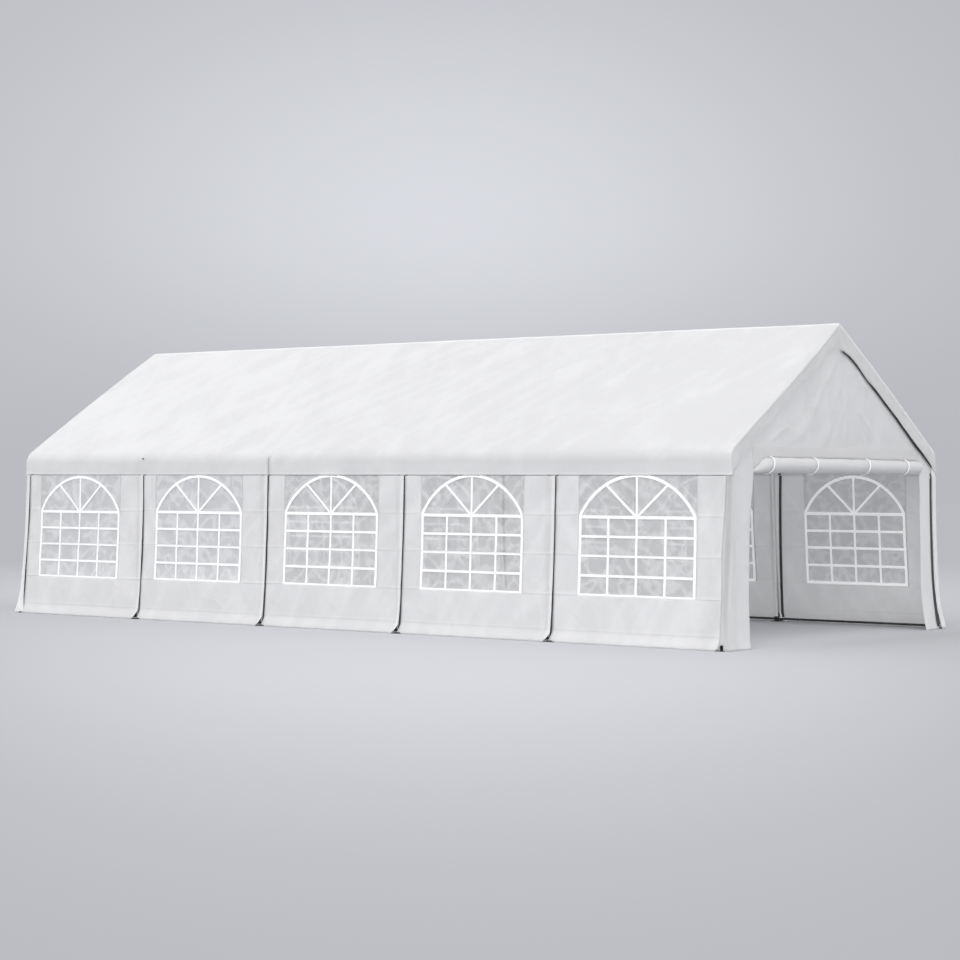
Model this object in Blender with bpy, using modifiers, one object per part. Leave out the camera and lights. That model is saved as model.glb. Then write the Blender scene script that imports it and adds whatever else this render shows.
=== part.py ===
"""Party tent of five bays: steel tube frame, roof cover, windowed side walls and rolled-up doors.

Units are metres. X runs along the ridge, the front doorway is at +X, the near long side at -Y.
The origin is on the ground, under the middle of the tent.
"""

import math

import bmesh
import bpy
from mathutils import Matrix, Vector

# Frame
BAY = 2.0
BAYS = 5
HALF_FRAME = BAY * BAYS / 2
TUBE_RADIUS = 0.019
SLEEVE_RADIUS = 0.0245
SLEEVE_LENGTH = 0.12
SLEEVE_START = 0.006
FACET_SPIN = math.radians(4.3)
RAIL_SLEEVE_REACH = 0.05
END_SLEEVE_REACH = 0.03
RIDGE_DRAW_IN = 0.06
TUBE_SIDES = 12

# Roof form, measured on the outer face of the cover
HALF_WIDTH = 2.07
ROOF_PITCH = math.radians(32.5)
PLANE_APEX = 3.222
SHOULDER_RADIUS = 0.10
RIDGE_RADIUS = 0.03
VALANCE_BOTTOM = 1.672
FLAP_DROP = 0.24
END_FACE_X = 5.05
END_FACE_Z = 1.85
END_LEAN = 0.045

# Fabric, made thicker than the real sheet
SHEET = 0.005
FILM = 0.003
GAP = 0.0003

# Side walls
WALL_FOOT = 0.008
WALL_TOP = 1.84
FLARE = 0.13
FLARE_POWER = 1.6
WINDOW_HALF = 0.68
WINDOW_SHIFT = -0.04
WINDOW_BOTTOM = 0.46
WINDOW_TOP = VALANCE_BOTTOM
TRANSOM = 1.235
WALL_LEVELS = (WALL_FOOT, 0.14, WINDOW_BOTTOM, 0.85, TRANSOM, WINDOW_TOP, WALL_TOP)

# End walls
DOOR_HALF_TOP = 1.685
DOOR_HALF_FOOT = 1.75
DOOR_TOP = 1.70
CORNER_FLARE = 0.10
CORNER_ROUND = 0.02
JAMB_MIDDLE_FLARE = 0.25
CORNER_TOP = 1.885
GABLE_COLUMN = 0.85

# Rolled-up doors and their ties
ROLL_RADIUS = 0.078
ROLL_HALF = 1.68
ROLL_Z = 1.757
ROLL_SIDES = 24
TIE_THICKNESS = 0.003
TIE_WIDTH = 0.022
TIE_PLACES = (-1.36, -0.53, 0.53, 1.36)

# Posts and feet. The eave tubes lie this much above the middle of the shoulder's curve, against the cover
EAVE_RISE = 0.0502
POST_SPLAY = 0.06
COLLAR_RADIUS = 0.026
COLLAR_TOP = 0.055
PLATE_THICKNESS = 0.005
PLATE_HALF_LENGTH = 0.06
PLATE_INNER = 2.08
PLATE_OUTER = 2.215
GROUND_RAIL_RADIUS = 0.0125
GROUND_RAIL_Z = 0.03

# Small clearances between pieces that rest on each other
RAIL_END_PLAY = 4 * GAP
GABLE_PLAY = 2 * GAP
TIE_PLAY = 3 * GAP

# Distances for welding points, and the angle from which an edge stays sharp
WELD = 0.00001
MIRROR_MERGE = 0.0001
SHARP_ANGLE = math.radians(40)
HALF_TURN = math.pi


def clear_scene():
    for old in list(bpy.data.objects):
        bpy.data.objects.remove(old)


def make_collection(name):
    group = bpy.data.collections.new(name)
    bpy.context.scene.collection.children.link(group)
    return group


def make_material(name, colour, roughness, metallic=0.0, alpha=1.0):
    material = bpy.data.materials.new(name)
    material.use_nodes = True
    shader = material.node_tree.nodes["Principled BSDF"]
    shader.inputs["Base Color"].default_value = (*colour, 1.0)
    shader.inputs["Roughness"].default_value = roughness
    shader.inputs["Metallic"].default_value = metallic
    shader.inputs["Alpha"].default_value = alpha
    return material


def place(name, mesh, material, x=0.0, turned=False):
    """An object in the tent's collection, at x along the ridge, or turned half round for the other side."""
    piece = bpy.data.objects.new(name, mesh)
    piece.location.x = x
    piece.rotation_euler.z = HALF_TURN if turned else 0.0
    if not mesh.materials:
        mesh.materials.append(material)
    TENT.objects.link(piece)
    return piece


def mesh_from(name, bm):
    mesh = bpy.data.meshes.new(name)
    bm.to_mesh(mesh)
    bm.free()
    return mesh


def quad_sheet(name, rows, skip=()):
    """An open surface through rows of points. Equal points are welded; skip lists (row, column) faces left out."""
    bm = bmesh.new()
    grid = [[bm.verts.new(point) for point in row] for row in rows]
    for r in range(len(grid) - 1):
        for c in range(len(grid[r]) - 1):
            if (r, c) not in skip:
                bm.faces.new((grid[r][c], grid[r][c + 1], grid[r + 1][c + 1], grid[r + 1][c]))
    bmesh.ops.delete(bm, geom=[v for v in bm.verts if not v.link_faces], context="VERTS")
    bmesh.ops.remove_doubles(bm, verts=bm.verts, dist=WELD)
    return mesh_from(name, bm)


def add_mirror(piece, across_x, across_y):
    mirror = piece.modifiers.new("other side", "MIRROR")
    mirror.use_axis = (across_x, across_y, False)
    mirror.merge_threshold = MIRROR_MERGE


def add_thickness(piece, thickness, offset):
    solid = piece.modifiers.new("thickness", "SOLIDIFY")
    solid.thickness = thickness
    solid.offset = offset
    solid.use_even_offset = True


def flare(z):
    """How far a wall stands out at height z: nothing at the valance, most at the ground."""
    if z >= VALANCE_BOTTOM:
        return 0.0
    return (1.0 - z / VALANCE_BOTTOM) ** FLARE_POWER


def end_face(z):
    """X of the cover's outer face at the front gable, which leans in towards the ridge."""
    return END_FACE_X + END_LEAN * (END_FACE_Z - max(z, VALANCE_BOTTOM))


def wall_y(z):
    """Distance of the walls' outer face from the middle plane."""
    return HALF_WIDTH - SHEET - GAP + FLARE * flare(z)


def roof_z(y, below=0.0):
    """Height of the plane that lies below the roof's outer face by the given perpendicular distance."""
    return PLANE_APEX - abs(y) * math.tan(ROOF_PITCH) - below / math.cos(ROOF_PITCH)


def arc(centre_y, centre_z, radius, start, end, steps):
    turns = [start + (end - start) * i / steps for i in range(steps + 1)]
    return [(centre_y + radius * math.cos(a), centre_z + radius * math.sin(a)) for a in turns]


# Eave and ridge points of the frame, set from the cover that rests on the sleeves
SHOULDER_Y = HALF_WIDTH - SHOULDER_RADIUS
SHOULDER_Z = roof_z(SHOULDER_Y, SHOULDER_RADIUS)
RIDGE_CENTRE_Z = roof_z(0.0, RIDGE_RADIUS)
RIDGE_Z = RIDGE_CENTRE_Z - GAP
POST_LEAN = math.atan(POST_SPLAY)
EAVE_Z = SHOULDER_Z + EAVE_RISE
EAVE_Y = wall_y(TRANSOM) - SHEET - GAP - TUBE_RADIUS / math.cos(POST_LEAN) - POST_SPLAY * (EAVE_Z - TRANSOM)
FOOT_Y = EAVE_Y + POST_SPLAY * EAVE_Z


def cover_outline():
    """Half outline of the cover's outer face, from the near valance up to the ridge."""
    normal = math.pi / 2 + ROOF_PITCH
    shoulder = arc(-SHOULDER_Y, SHOULDER_Z, SHOULDER_RADIUS, math.pi, normal, 4)
    ridge = arc(0.0, RIDGE_CENTRE_Z, RIDGE_RADIUS, normal, math.pi / 2, 2)
    return [(-HALF_WIDTH, VALANCE_BOTTOM), *shoulder, *ridge]


def make_roof_cover():
    outline = cover_outline()
    flap_corner = (PLANE_APEX - FLAP_DROP - VALANCE_BOTTOM) / math.tan(ROOF_PITCH)
    middle, edge, hem = [], [], []
    for y, z in outline:
        inner_y = y * flap_corner / HALF_WIDTH
        inner_z = max(VALANCE_BOTTOM, roof_z(inner_y) - FLAP_DROP)
        if z <= SHOULDER_Z:
            inner_y, inner_z = -flap_corner, VALANCE_BOTTOM
        middle.append((0.0, y, z))
        edge.append((end_face(z), y, z))
        hem.append((end_face(inner_z), inner_y, inner_z))
    mesh = quad_sheet("roof_cover", [hem, edge, middle])
    cover = place("roof_cover", mesh, COVER_FABRIC)
    add_mirror(cover, True, True)
    add_thickness(cover, SHEET, -1.0)


def wall_row(xs, z, inset=0.0):
    return [(x, -wall_y(z) + inset, z) for x in xs]


def make_side_walls():
    half = BAY / 2 - GAP / 2
    left = WINDOW_SHIFT - WINDOW_HALF
    right = WINDOW_SHIFT + WINDOW_HALF
    rows = [wall_row((-half, left, right, half), z) for z in WALL_LEVELS]
    window_rows = [r for r, z in enumerate(WALL_LEVELS) if WINDOW_BOTTOM <= z < WINDOW_TOP]
    wall = quad_sheet("side_wall", rows, skip=[(r, 1) for r in window_rows])
    film_levels = [WALL_LEVELS[r] for r in window_rows] + [WINDOW_TOP]
    film_levels[0] += GAP
    film_levels[-1] -= GAP
    film_rows = [wall_row((left + GAP, right - GAP), z, SHEET / 2) for z in film_levels]
    film = quad_sheet("window_film", film_rows)
    for number in range(1, BAYS + 1):
        x = (number - 0.5) * BAY - HALF_FRAME
        for side, turned in (("near", False), ("far", True)):
            panel = place(f"{side}_wall_{number}", wall, WALL_FABRIC, x, turned)
            add_thickness(panel, SHEET, -1.0)
            window = place(f"{side}_window_{number}", film, CLEAR_FILM, x, turned)
            add_thickness(window, FILM, 0.0)


def jamb_row(z):
    """Points of an end wall at height z, from behind the corner post round to the doorway's edge."""
    corner_y = wall_y(z)
    door_y = DOOR_HALF_TOP + (DOOR_HALF_FOOT - DOOR_HALF_TOP) * flare(z)
    x = end_face(z) - SHEET - GAP
    corner_x = x + CORNER_FLARE * flare(z)
    middle_x = x + JAMB_MIDDLE_FLARE * CORNER_FLARE * flare(z)
    return [
        (HALF_FRAME + GAP / 2, -corner_y, z),
        (corner_x - CORNER_ROUND, -corner_y, z),
        (corner_x, -corner_y + CORNER_ROUND, z),
        (middle_x, -(corner_y + door_y) / 2, z),
        (x, -door_y, z),
    ]


def gable_point(y, z):
    return (end_face(z) - SHEET - GAP, y, z)


def make_end_walls():
    levels = [z for z in WALL_LEVELS if z <= VALANCE_BOTTOM] + [DOOR_TOP]
    columns = (-GABLE_COLUMN, 0.0)
    rows = []
    for z in levels:
        rows.append(jamb_row(z) + [gable_point(y, z) for y in columns])
    top = jamb_row(WALL_TOP)[:2]
    top.append(gable_point(rows[-1][2][1], CORNER_TOP))
    for x, y, z in rows[-1][3:-1]:
        top.append(gable_point(y, roof_z(y, SHEET) - GABLE_PLAY))
    top.append(gable_point(0.0, RIDGE_CENTRE_Z))
    rows.append(top)
    door = [(r, c) for r in range(len(levels) - 1) for c in (4, 5)]
    mesh = quad_sheet("end_wall", rows, skip=door)
    for name, turned in (("front_end_wall", False), ("rear_end_wall", True)):
        wall = place(name, mesh, WALL_FABRIC, 0.0, turned)
        add_mirror(wall, False, True)
        add_thickness(wall, SHEET, -1.0)


def tube_mesh(name, start, end, radius, sides=TUBE_SIDES, spin=0.0, capped=True):
    """A round bar between two points, or an open band. Spin turns its facets about its own axis."""
    start, end = Vector(start), Vector(end)
    axis = end - start
    turn = axis.to_track_quat("Z", "X").to_matrix().to_4x4()
    bm = bmesh.new()
    bmesh.ops.create_cone(
        bm,
        cap_ends=capped,
        segments=sides,
        radius1=radius,
        radius2=radius,
        depth=axis.length,
        matrix=Matrix.Translation((start + end) / 2) @ turn @ Matrix.Rotation(spin, 4, "Z"),
    )
    mesh = mesh_from(name, bm)
    shade_round(mesh)
    return mesh


def shade_round(mesh):
    mesh.shade_smooth()
    mesh.set_sharp_from_angle(angle=SHARP_ANGLE)


def make_cutter(name, mesh):
    cutter = bpy.data.objects.new(name, mesh)
    cutter.hide_render = True
    cutter.display_type = "WIRE"
    CUTTERS.objects.link(cutter)
    return cutter


def fuse(name, pieces, holes=()):
    """One mesh from overlapping closed meshes, with the holes cut out of it."""
    base = make_cutter(name, pieces[0])
    tools = [(piece, "UNION") for piece in pieces[1:]] + [(hole, "DIFFERENCE") for hole in holes]
    for number, (mesh, operation) in enumerate(tools):
        step = base.modifiers.new(f"step_{number}", "BOOLEAN")
        step.operation = operation
        step.solver = "EXACT"
        step.object = make_cutter(f"{name}_tool_{number}", mesh)
    bpy.context.view_layer.update()
    graph = bpy.context.evaluated_depsgraph_get()
    mesh = bpy.data.meshes.new_from_object(base.evaluated_get(graph))
    shade_round(mesh)
    bpy.data.objects.remove(base)
    return mesh


def along(start, end, distance):
    start, end = Vector(start), Vector(end)
    return start + (end - start).normalized() * distance


def portal_mesh(name, ridge_x, outer_reach):
    """Posts, rafters and sleeves of a portal whose posts stand at x = 0, bored for the rails."""
    ridge = (ridge_x, 0.0, RIDGE_Z)
    rail_points = [ridge]
    bars = []
    for side in (-1, 1):
        eave = (0.0, side * EAVE_Y, EAVE_Z)
        foot_z = COLLAR_TOP + GAP + TUBE_RADIUS * math.sin(POST_LEAN)
        foot = (0.0, side * (EAVE_Y + POST_SPLAY * (EAVE_Z - foot_z)), foot_z)
        bars.append((eave, foot, TUBE_RADIUS))
        bars.append((eave, ridge, TUBE_RADIUS))
        for node, target in ((eave, foot), (eave, ridge), (ridge, eave)):
            sleeve_ends = [along(node, target, reach) for reach in (SLEEVE_START, SLEEVE_LENGTH)]
            bars.append((*sleeve_ends, SLEEVE_RADIUS))
        rail_points.append(eave)
    bores = []
    for x, y, z in rail_points:
        bars.append(((x - RAIL_SLEEVE_REACH, y, z), (x + outer_reach, y, z), SLEEVE_RADIUS))
        bore_ends = ((x - SLEEVE_LENGTH, y, z), (x + SLEEVE_LENGTH, y, z))
        bores.append((*bore_ends, TUBE_RADIUS + GAP))
    pieces = [tube_mesh("bar", *bar, spin=FACET_SPIN * number) for number, bar in enumerate(bars)]
    holes = [tube_mesh("bore", *bore) for bore in bores]
    return fuse(name, pieces, holes)


def make_portal_frames():
    middle = portal_mesh("middle_frame", 0.0, RAIL_SLEEVE_REACH)
    end = portal_mesh("end_frame", -RIDGE_DRAW_IN, END_SLEEVE_REACH)
    for number in range(1, BAYS + 2):
        x = (number - 1) * BAY - HALF_FRAME
        mesh = end if number in (1, BAYS + 1) else middle
        place(f"portal_frame_{number}", mesh, WHITE_STEEL, x, number == 1)


def make_rails():
    for name, y, z in (
        ("near_eave_rail", -EAVE_Y, EAVE_Z),
        ("far_eave_rail", EAVE_Y, EAVE_Z),
        ("ridge_rail", 0.0, RIDGE_Z),
    ):
        reach = end_face(z + TUBE_RADIUS) - 2 * SHEET - RAIL_END_PLAY
        place(name, tube_mesh(name, (-reach, y, z), (reach, y, z), TUBE_RADIUS), WHITE_STEEL)


def box_mesh(name, low, high):
    bm = bmesh.new()
    bmesh.ops.create_cube(bm, size=1.0)
    size = Vector(high) - Vector(low)
    bmesh.ops.scale(bm, vec=size, verts=bm.verts)
    bmesh.ops.translate(bm, vec=(Vector(low) + Vector(high)) / 2, verts=bm.verts)
    return mesh_from(name, bm)


def foot_mesh():
    """A base plate and its collar, bored along X for the ground rail, for a post at x = 0."""
    low = (-PLATE_HALF_LENGTH, -PLATE_OUTER, 0.0)
    high = (PLATE_HALF_LENGTH, -PLATE_INNER, PLATE_THICKNESS)
    plate = box_mesh("plate", low, high)
    collar = tube_mesh("collar", (0.0, -FOOT_Y, COLLAR_TOP), (0.0, -FOOT_Y, 0.0), COLLAR_RADIUS)
    bore_ends = [(end, -FOOT_Y, GROUND_RAIL_Z) for end in (-PLATE_HALF_LENGTH, PLATE_HALF_LENGTH)]
    bore = tube_mesh("bore", *bore_ends, GROUND_RAIL_RADIUS + GAP)
    return fuse("foot", [collar, plate], [bore])


def make_feet_and_ground_rails():
    """A foot under every post, and the low rail that runs through the collars of each long side."""
    foot = foot_mesh()
    rail_ends = [(end, -FOOT_Y, GROUND_RAIL_Z) for end in (-HALF_FRAME, HALF_FRAME)]
    rail = tube_mesh("ground_rail", *rail_ends, GROUND_RAIL_RADIUS)
    for side, turned in (("near", False), ("far", True)):
        place(f"{side}_ground_rail", rail, BLACK_FOOT, 0.0, turned)
        for number in range(1, BAYS + 2):
            x = (number - 1) * BAY - HALF_FRAME
            place(f"{side}_post_foot_{number}", foot, BLACK_FOOT, x, turned)


def make_door_rolls():
    wall_face = end_face(ROLL_Z) - SHEET - GAP
    axis_x = wall_face + ROLL_RADIUS + TIE_THICKNESS + TIE_PLAY
    roll_ends = [(axis_x, end, ROLL_Z) for end in (-ROLL_HALF, ROLL_HALF)]
    roll = tube_mesh("door_roll", *roll_ends, ROLL_RADIUS, ROLL_SIDES)
    for side, turned in (("front", False), ("rear", True)):
        place(f"{side}_door_roll", roll, WALL_FABRIC, 0.0, turned)
        for number, y in enumerate(TIE_PLACES, start=1):
            band_ends = [(axis_x, y + edge, ROLL_Z) for edge in (-TIE_WIDTH / 2, TIE_WIDTH / 2)]
            band = tube_mesh("door_tie", *band_ends, ROLL_RADIUS + GAP, ROLL_SIDES, capped=False)
            tie = place(f"{side}_door_tie_{number}", band, TIE_WEBBING, 0.0, turned)
            add_thickness(tie, TIE_THICKNESS, 1.0)


clear_scene()
TENT = make_collection("party_tent")
CUTTERS = make_collection("cutters")
COVER_FABRIC = make_material("cover_fabric", (0.86, 0.86, 0.87), 0.55)
WALL_FABRIC = make_material("wall_fabric", (0.80, 0.80, 0.81), 0.6)
CLEAR_FILM = make_material("clear_film", (0.72, 0.73, 0.75), 0.2, alpha=0.45)
WHITE_STEEL = make_material("white_steel", (0.78, 0.78, 0.78), 0.4)
BLACK_FOOT = make_material("black_foot", (0.03, 0.03, 0.035), 0.6)
TIE_WEBBING = make_material("tie_webbing", (0.85, 0.85, 0.86), 0.7)
make_roof_cover()
make_side_walls()
make_end_walls()
make_portal_frames()
make_rails()
make_feet_and_ground_rails()
make_door_rolls()
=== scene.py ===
"""Looks of the party tent: cloth, clear film, rolled doors, steel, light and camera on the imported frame.

Units are metres. X runs along the ridge with the front doorway at +X, the near long side is at -Y.
The rear end repeats the front end turned half round about Z, and the far side repeats the near side so.
"""

import math

import bpy
import numpy as np
from mathutils import Euler, Matrix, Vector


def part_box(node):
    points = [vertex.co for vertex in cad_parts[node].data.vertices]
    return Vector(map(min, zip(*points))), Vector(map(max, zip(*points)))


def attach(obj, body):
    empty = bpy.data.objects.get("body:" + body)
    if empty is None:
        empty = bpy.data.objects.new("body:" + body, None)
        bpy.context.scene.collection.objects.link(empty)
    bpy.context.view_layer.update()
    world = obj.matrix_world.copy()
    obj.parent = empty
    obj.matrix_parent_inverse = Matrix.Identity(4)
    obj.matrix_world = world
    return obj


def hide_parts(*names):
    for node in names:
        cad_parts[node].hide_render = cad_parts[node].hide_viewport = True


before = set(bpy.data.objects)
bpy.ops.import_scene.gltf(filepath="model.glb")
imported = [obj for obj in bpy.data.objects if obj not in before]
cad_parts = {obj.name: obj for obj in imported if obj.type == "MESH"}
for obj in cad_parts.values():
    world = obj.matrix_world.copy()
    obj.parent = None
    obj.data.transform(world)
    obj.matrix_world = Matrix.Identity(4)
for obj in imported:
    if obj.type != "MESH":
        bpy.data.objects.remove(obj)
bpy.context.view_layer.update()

COVER_LOW, COVER_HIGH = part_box("roof_cover")

# Roof form, on the outer face of the cover
HALF_WIDTH = COVER_HIGH.y
VALANCE_BOTTOM = COVER_LOW.z
ROOF_PITCH = math.radians(32.5)
SHOULDER_RADIUS = 0.17
RIDGE_RADIUS = 0.03
PLANE_APEX = COVER_HIGH.z + RIDGE_RADIUS * (1 / math.cos(ROOF_PITCH) - 1)
SHOULDER_Y = HALF_WIDTH - SHOULDER_RADIUS
SHOULDER_Z = PLANE_APEX - SHOULDER_Y * math.tan(ROOF_PITCH) - SHOULDER_RADIUS / math.cos(ROOF_PITCH)
SHOULDER_TURN = math.pi / 2 - ROOF_PITCH
END_FACE_X = 5.05
END_FACE_Z = 1.85
FRONT_LEAN = 0.005
REAR_LEAN = 0.045
FLAP_DROP = 0.235
FLAP_DIP = 0.042
FLAP_CORNER_Y = (PLANE_APEX - FLAP_DROP - VALANCE_BOTTOM) / math.tan(ROOF_PITCH)

# Lengths along half of the cover's outline, from the valance's hem up to the ridge
VALANCE = SHOULDER_Z - VALANCE_BOTTOM
SHOULDER_ARC = SHOULDER_RADIUS * SHOULDER_TURN
RIDGE_ARC = RIDGE_RADIUS * ROOF_PITCH
SLOPE_RUN = HALF_WIDTH - SHOULDER_RADIUS * (1 - math.cos(SHOULDER_TURN)) - RIDGE_RADIUS * math.sin(ROOF_PITCH)
SLOPE = SLOPE_RUN / math.cos(ROOF_PITCH)
SLOPE_START = VALANCE + SHOULDER_ARC
HALF_OUTLINE = SLOPE_START + SLOPE + RIDGE_ARC

# Frame
BAY = 2.0
BAYS = 5
HALF_FRAME = BAY * BAYS / 2
ROOF_RAILS = ("near_eave_rail", "far_eave_rail", "ridge_rail")

# Walls
WALL_SET_BACK = 0.0053
WALL_FOOT = 0.0008
WALL_TOP = 1.82
PANEL_BODY = 0.75
PANEL_STEP = 0.026
FILM_STEP = 0.015
LAP_SEAM = 0.865
EDGE_TRIM = 0.962
FLARE = 0.13
FLARE_POWER = 1.6
TUCK = 0.022
TUCK_DROP = 0.011
SKIRT = 0.125
FOLD_LINES = (0.465, 0.866, 1.26)
JOINT_LEFT = 0.003
FAR_GAP = 0.024
GAP_CHANGE = 0.45
JOINT_GAP = (0.022, 0.013, 0.017, 0.010, 0.008)
JOINT_SHIFT = (0.0, -0.004, -0.011, -0.025, -0.033)
JOINT_LEAN = (0.035, 0.0, 0.012, 0.018, 0.018)
CORNER_SHIFT = -0.008
CORNER_BOW = 0.026
CORNER_START = 4.90
SHEAR = 0.055
JOINT_SWING = 0.028
SWING_TOP = 0.12
CORNER_LIFT = 0.035
TUCK_LEVELS = [VALANCE_BOTTOM - TUCK_DROP + d for d in (-0.003, 0.0, 0.002, 0.004, 0.007)]

# Windows, about the middle of their panel; panels are numbered from the wall's left, seen from outside
WINDOW_SHIFT = -0.062
WINDOW_HALF = 0.68
WINDOW_BOTTOM = 0.46
WINDOW_TOP = 1.74
FILM_LAP = 0.006
FAR_WINDOW_SHIFT = (-0.039, -0.085, -0.04, -0.04, -0.04)
FAR_WINDOW_SHARE = 0.935
PANEL_SHIFT = (-0.026, -0.035, -0.006, -0.050, 0.020)
PANEL_SHARE = (1.014, 1.016, 1.0, 0.991, 1.0285)
PANEL_RISE = (-0.009, 0.003, 0.011, 0.013, 0.017)
TRANSOM = 1.238
BAR_COLUMNS = (-0.665, -0.33, 0.0, 0.33, 0.665)
BAR_ROWS = (0.462, 0.657, 0.854, 1.044)
BAR_WIDTH = 0.0255
FRAME_BAR_WIDTH = 0.032
ARCH_RISE = 0.40
BAR_STAND = 0.001
BAR_STEP = 0.00012
CRINKLE_DEPTH = 0.012
FILM_BEHIND = 0.0022
ARCH_FOOT = 1.25
SPOKE_ANGLE = math.radians(47)

# End walls
DOOR_HALF_TOP = 1.685
DOOR_HALF_FOOT = 1.75
JAMB_TOP = 1.70
DOOR_TOP = 1.844
FOOT_KICK = 0.05
KICK_HEIGHT = 0.62
SOFT_CORNER = 0.05
STRIP_CORNER = 0.02
CORNER_TOP = 1.775
NEAR_JAMB_Z = (0.03, 0.25, 0.45, 0.75, 1.05, 1.25, 1.45, 1.60, 1.70)
NEAR_JAMB_Y = (1.788, 1.757, 1.746, 1.744, 1.743, 1.727, 1.702, 1.677, 1.662)

# Rolled doors and ties
ROLL_RADIUS = 0.081
ROLL_CORE = 0.012
ROLL_TURNS = 5.1
ROLL_HALF = 1.68
ROLL_Z = 1.758
ROLL_TILT = -0.007
ROLL_BACK = 0.012
ROLL_START = math.radians(84)
ROLL_SEAM_Z = 1.945
ROLL_TAPER = 0.27
ROLL_PITCH = 0.0015
TIE_PLACES = (-1.39, -0.56, 0.50, 1.33)
TIE_RADIUS = 0.0085
TIE_SLANT = 0.027

# Cloth: thickness, and the stretch of pattern between panels and between the two sides
CLOTH = 0.0014
PATTERN_STEP = 3.1
PATTERN_FAR = 50.0
TINY = 1e-6

# Camera fitted to the photograph
CAMERA_PLACE = (17.1061, -21.065, 1.6742)
CAMERA_YAW = math.radians(38.491)
CAMERA_PITCH = -0.0023
CAMERA_ROLL = 0.0006
CAMERA_LENS = 88.308
SENSOR = 36.0
CLIP_END = 400.0


# Shaping helpers


def ease(t):
    t = np.clip(t, 0.0, 1.0)
    return t * t * (3.0 - 2.0 * t)


def share_below(z, top):
    """Share of the way down from a height to the ground, which is 0 above that height."""
    return np.clip(1.0 - z / top, 0.0, 1.0)


def hump(x, centre, width):
    return np.exp(-(((x - centre) / width) ** 2))


def waves(u, v, cells, seed, angle=0.0):
    """Smooth random height from -1 to 1, over cells of the given length and width turned by angle.

    Where a sheet uses waves or creases, the number before them is their depth in metres.
    """
    size = 64
    table = np.random.default_rng(seed).uniform(-1.0, 1.0, (size, size))
    cos, sin = np.cos(angle), np.sin(angle)
    p = (u * cos + v * sin) / cells[0] + 17.3
    q = (v * cos - u * sin) / cells[1] + 29.7
    i, j = np.floor(p).astype(int), np.floor(q).astype(int)
    a, b = ease(p - i), ease(q - j)
    left, right = i % size, (i + 1) % size
    low, high = j % size, (j + 1) % size
    bottom = table[left, low] * (1 - a) + table[right, low] * a
    top = table[left, high] * (1 - a) + table[right, high] * a
    return bottom * (1 - b) + top * b


def creases(u, v, cells, seed, angle=0.0, sharpness=3):
    """Ridges from 0 to 1 along the lines where a field of waves crosses zero."""
    return (1.0 - np.abs(waves(u, v, cells, seed, angle))) ** sharpness


def spaced(marks, step):
    """Rising places that include every mark, with no more than a step between neighbours."""
    places = [marks[0]]
    for start, end in zip(marks, marks[1:]):
        count = max(1, math.ceil((end - start) / step - TINY))
        places += [start + (end - start) * i / count for i in range(1, count + 1)]
    return np.array(places)


# Form of the tent, shared by its sheets


def flare(z):
    """How far a wall stands out at height z: nothing at the valance, most at the ground."""
    return share_below(z, VALANCE_BOTTOM) ** FLARE_POWER


def wall_y(z):
    """Y of a side wall's outer face, tucked in behind the valance at the top."""
    tuck = TUCK * ease((z - VALANCE_BOTTOM + TUCK_DROP) / 0.004)
    return HALF_WIDTH - WALL_SET_BACK + FLARE * flare(z) - tuck


def end_face(z, lean):
    """Distance of the cover's outer face at a gable from the middle; lean draws it in towards the ridge."""
    return END_FACE_X + lean * (END_FACE_Z - np.maximum(z, VALANCE_BOTTOM))


def end_lean(turned):
    return REAR_LEAN if turned else FRONT_LEAN


def cover_outline(s):
    """Y, Z and the outward normal of the cover at distance s along it from the near valance's hem."""
    side = np.where(s > HALF_OUTLINE, -1.0, 1.0)
    t = HALF_OUTLINE - np.abs(s - HALF_OUTLINE)
    shoulder = np.clip((t - VALANCE) / SHOULDER_RADIUS, 0.0, SHOULDER_TURN)
    slope = np.clip(t - SLOPE_START, 0.0, SLOPE)
    ridge = np.clip((t - SLOPE_START - SLOPE) / RIDGE_RADIUS, 0.0, ROOF_PITCH)
    turn = shoulder + ridge
    y = -HALF_WIDTH + SHOULDER_RADIUS * (1 - np.cos(shoulder)) + slope * math.cos(ROOF_PITCH)
    y = y + RIDGE_RADIUS * (math.cos(SHOULDER_TURN) - np.cos(SHOULDER_TURN + ridge))
    z = VALANCE_BOTTOM + np.minimum(t, VALANCE) + SHOULDER_RADIUS * np.sin(shoulder)
    z = z + slope * math.sin(ROOF_PITCH)
    z = z + RIDGE_RADIUS * (np.sin(SHOULDER_TURN + ridge) - math.sin(SHOULDER_TURN))
    return y * side, z, -np.cos(turn) * side, np.sin(turn)


def under_cover(y, below):
    """Height of a place at y that lies below the cover's outer face by the given distance."""
    y = np.abs(y)
    plane = PLANE_APEX - y * math.tan(ROOF_PITCH) - below / math.cos(ROOF_PITCH)
    plane = np.minimum(plane, COVER_HIGH.z - below)
    reach = np.clip((SHOULDER_RADIUS - below) ** 2 - (y - SHOULDER_Y) ** 2, 0.0, None)
    return np.where(y > SHOULDER_Y, SHOULDER_Z + np.sqrt(reach), plane)


# Mesh helpers


def grid(x, y, z, u=None, v=None, keep=None, trim=0.0):
    """A grid of points, its place on the flat cloth in metres with its share of trim, which below 0 is
    painted shade, and the faces kept.
    """
    points = np.stack(np.broadcast_arrays(x, y, z), axis=-1).astype(float)
    if u is None:
        u, v = points[..., 0], points[..., 2]
    flat = np.stack(np.broadcast_arrays(u, v, trim + np.zeros(points.shape[:2])), axis=-1)
    if keep is None:
        keep = np.ones((points.shape[0] - 1, points.shape[1] - 1), bool)
    return points, flat, keep


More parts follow.
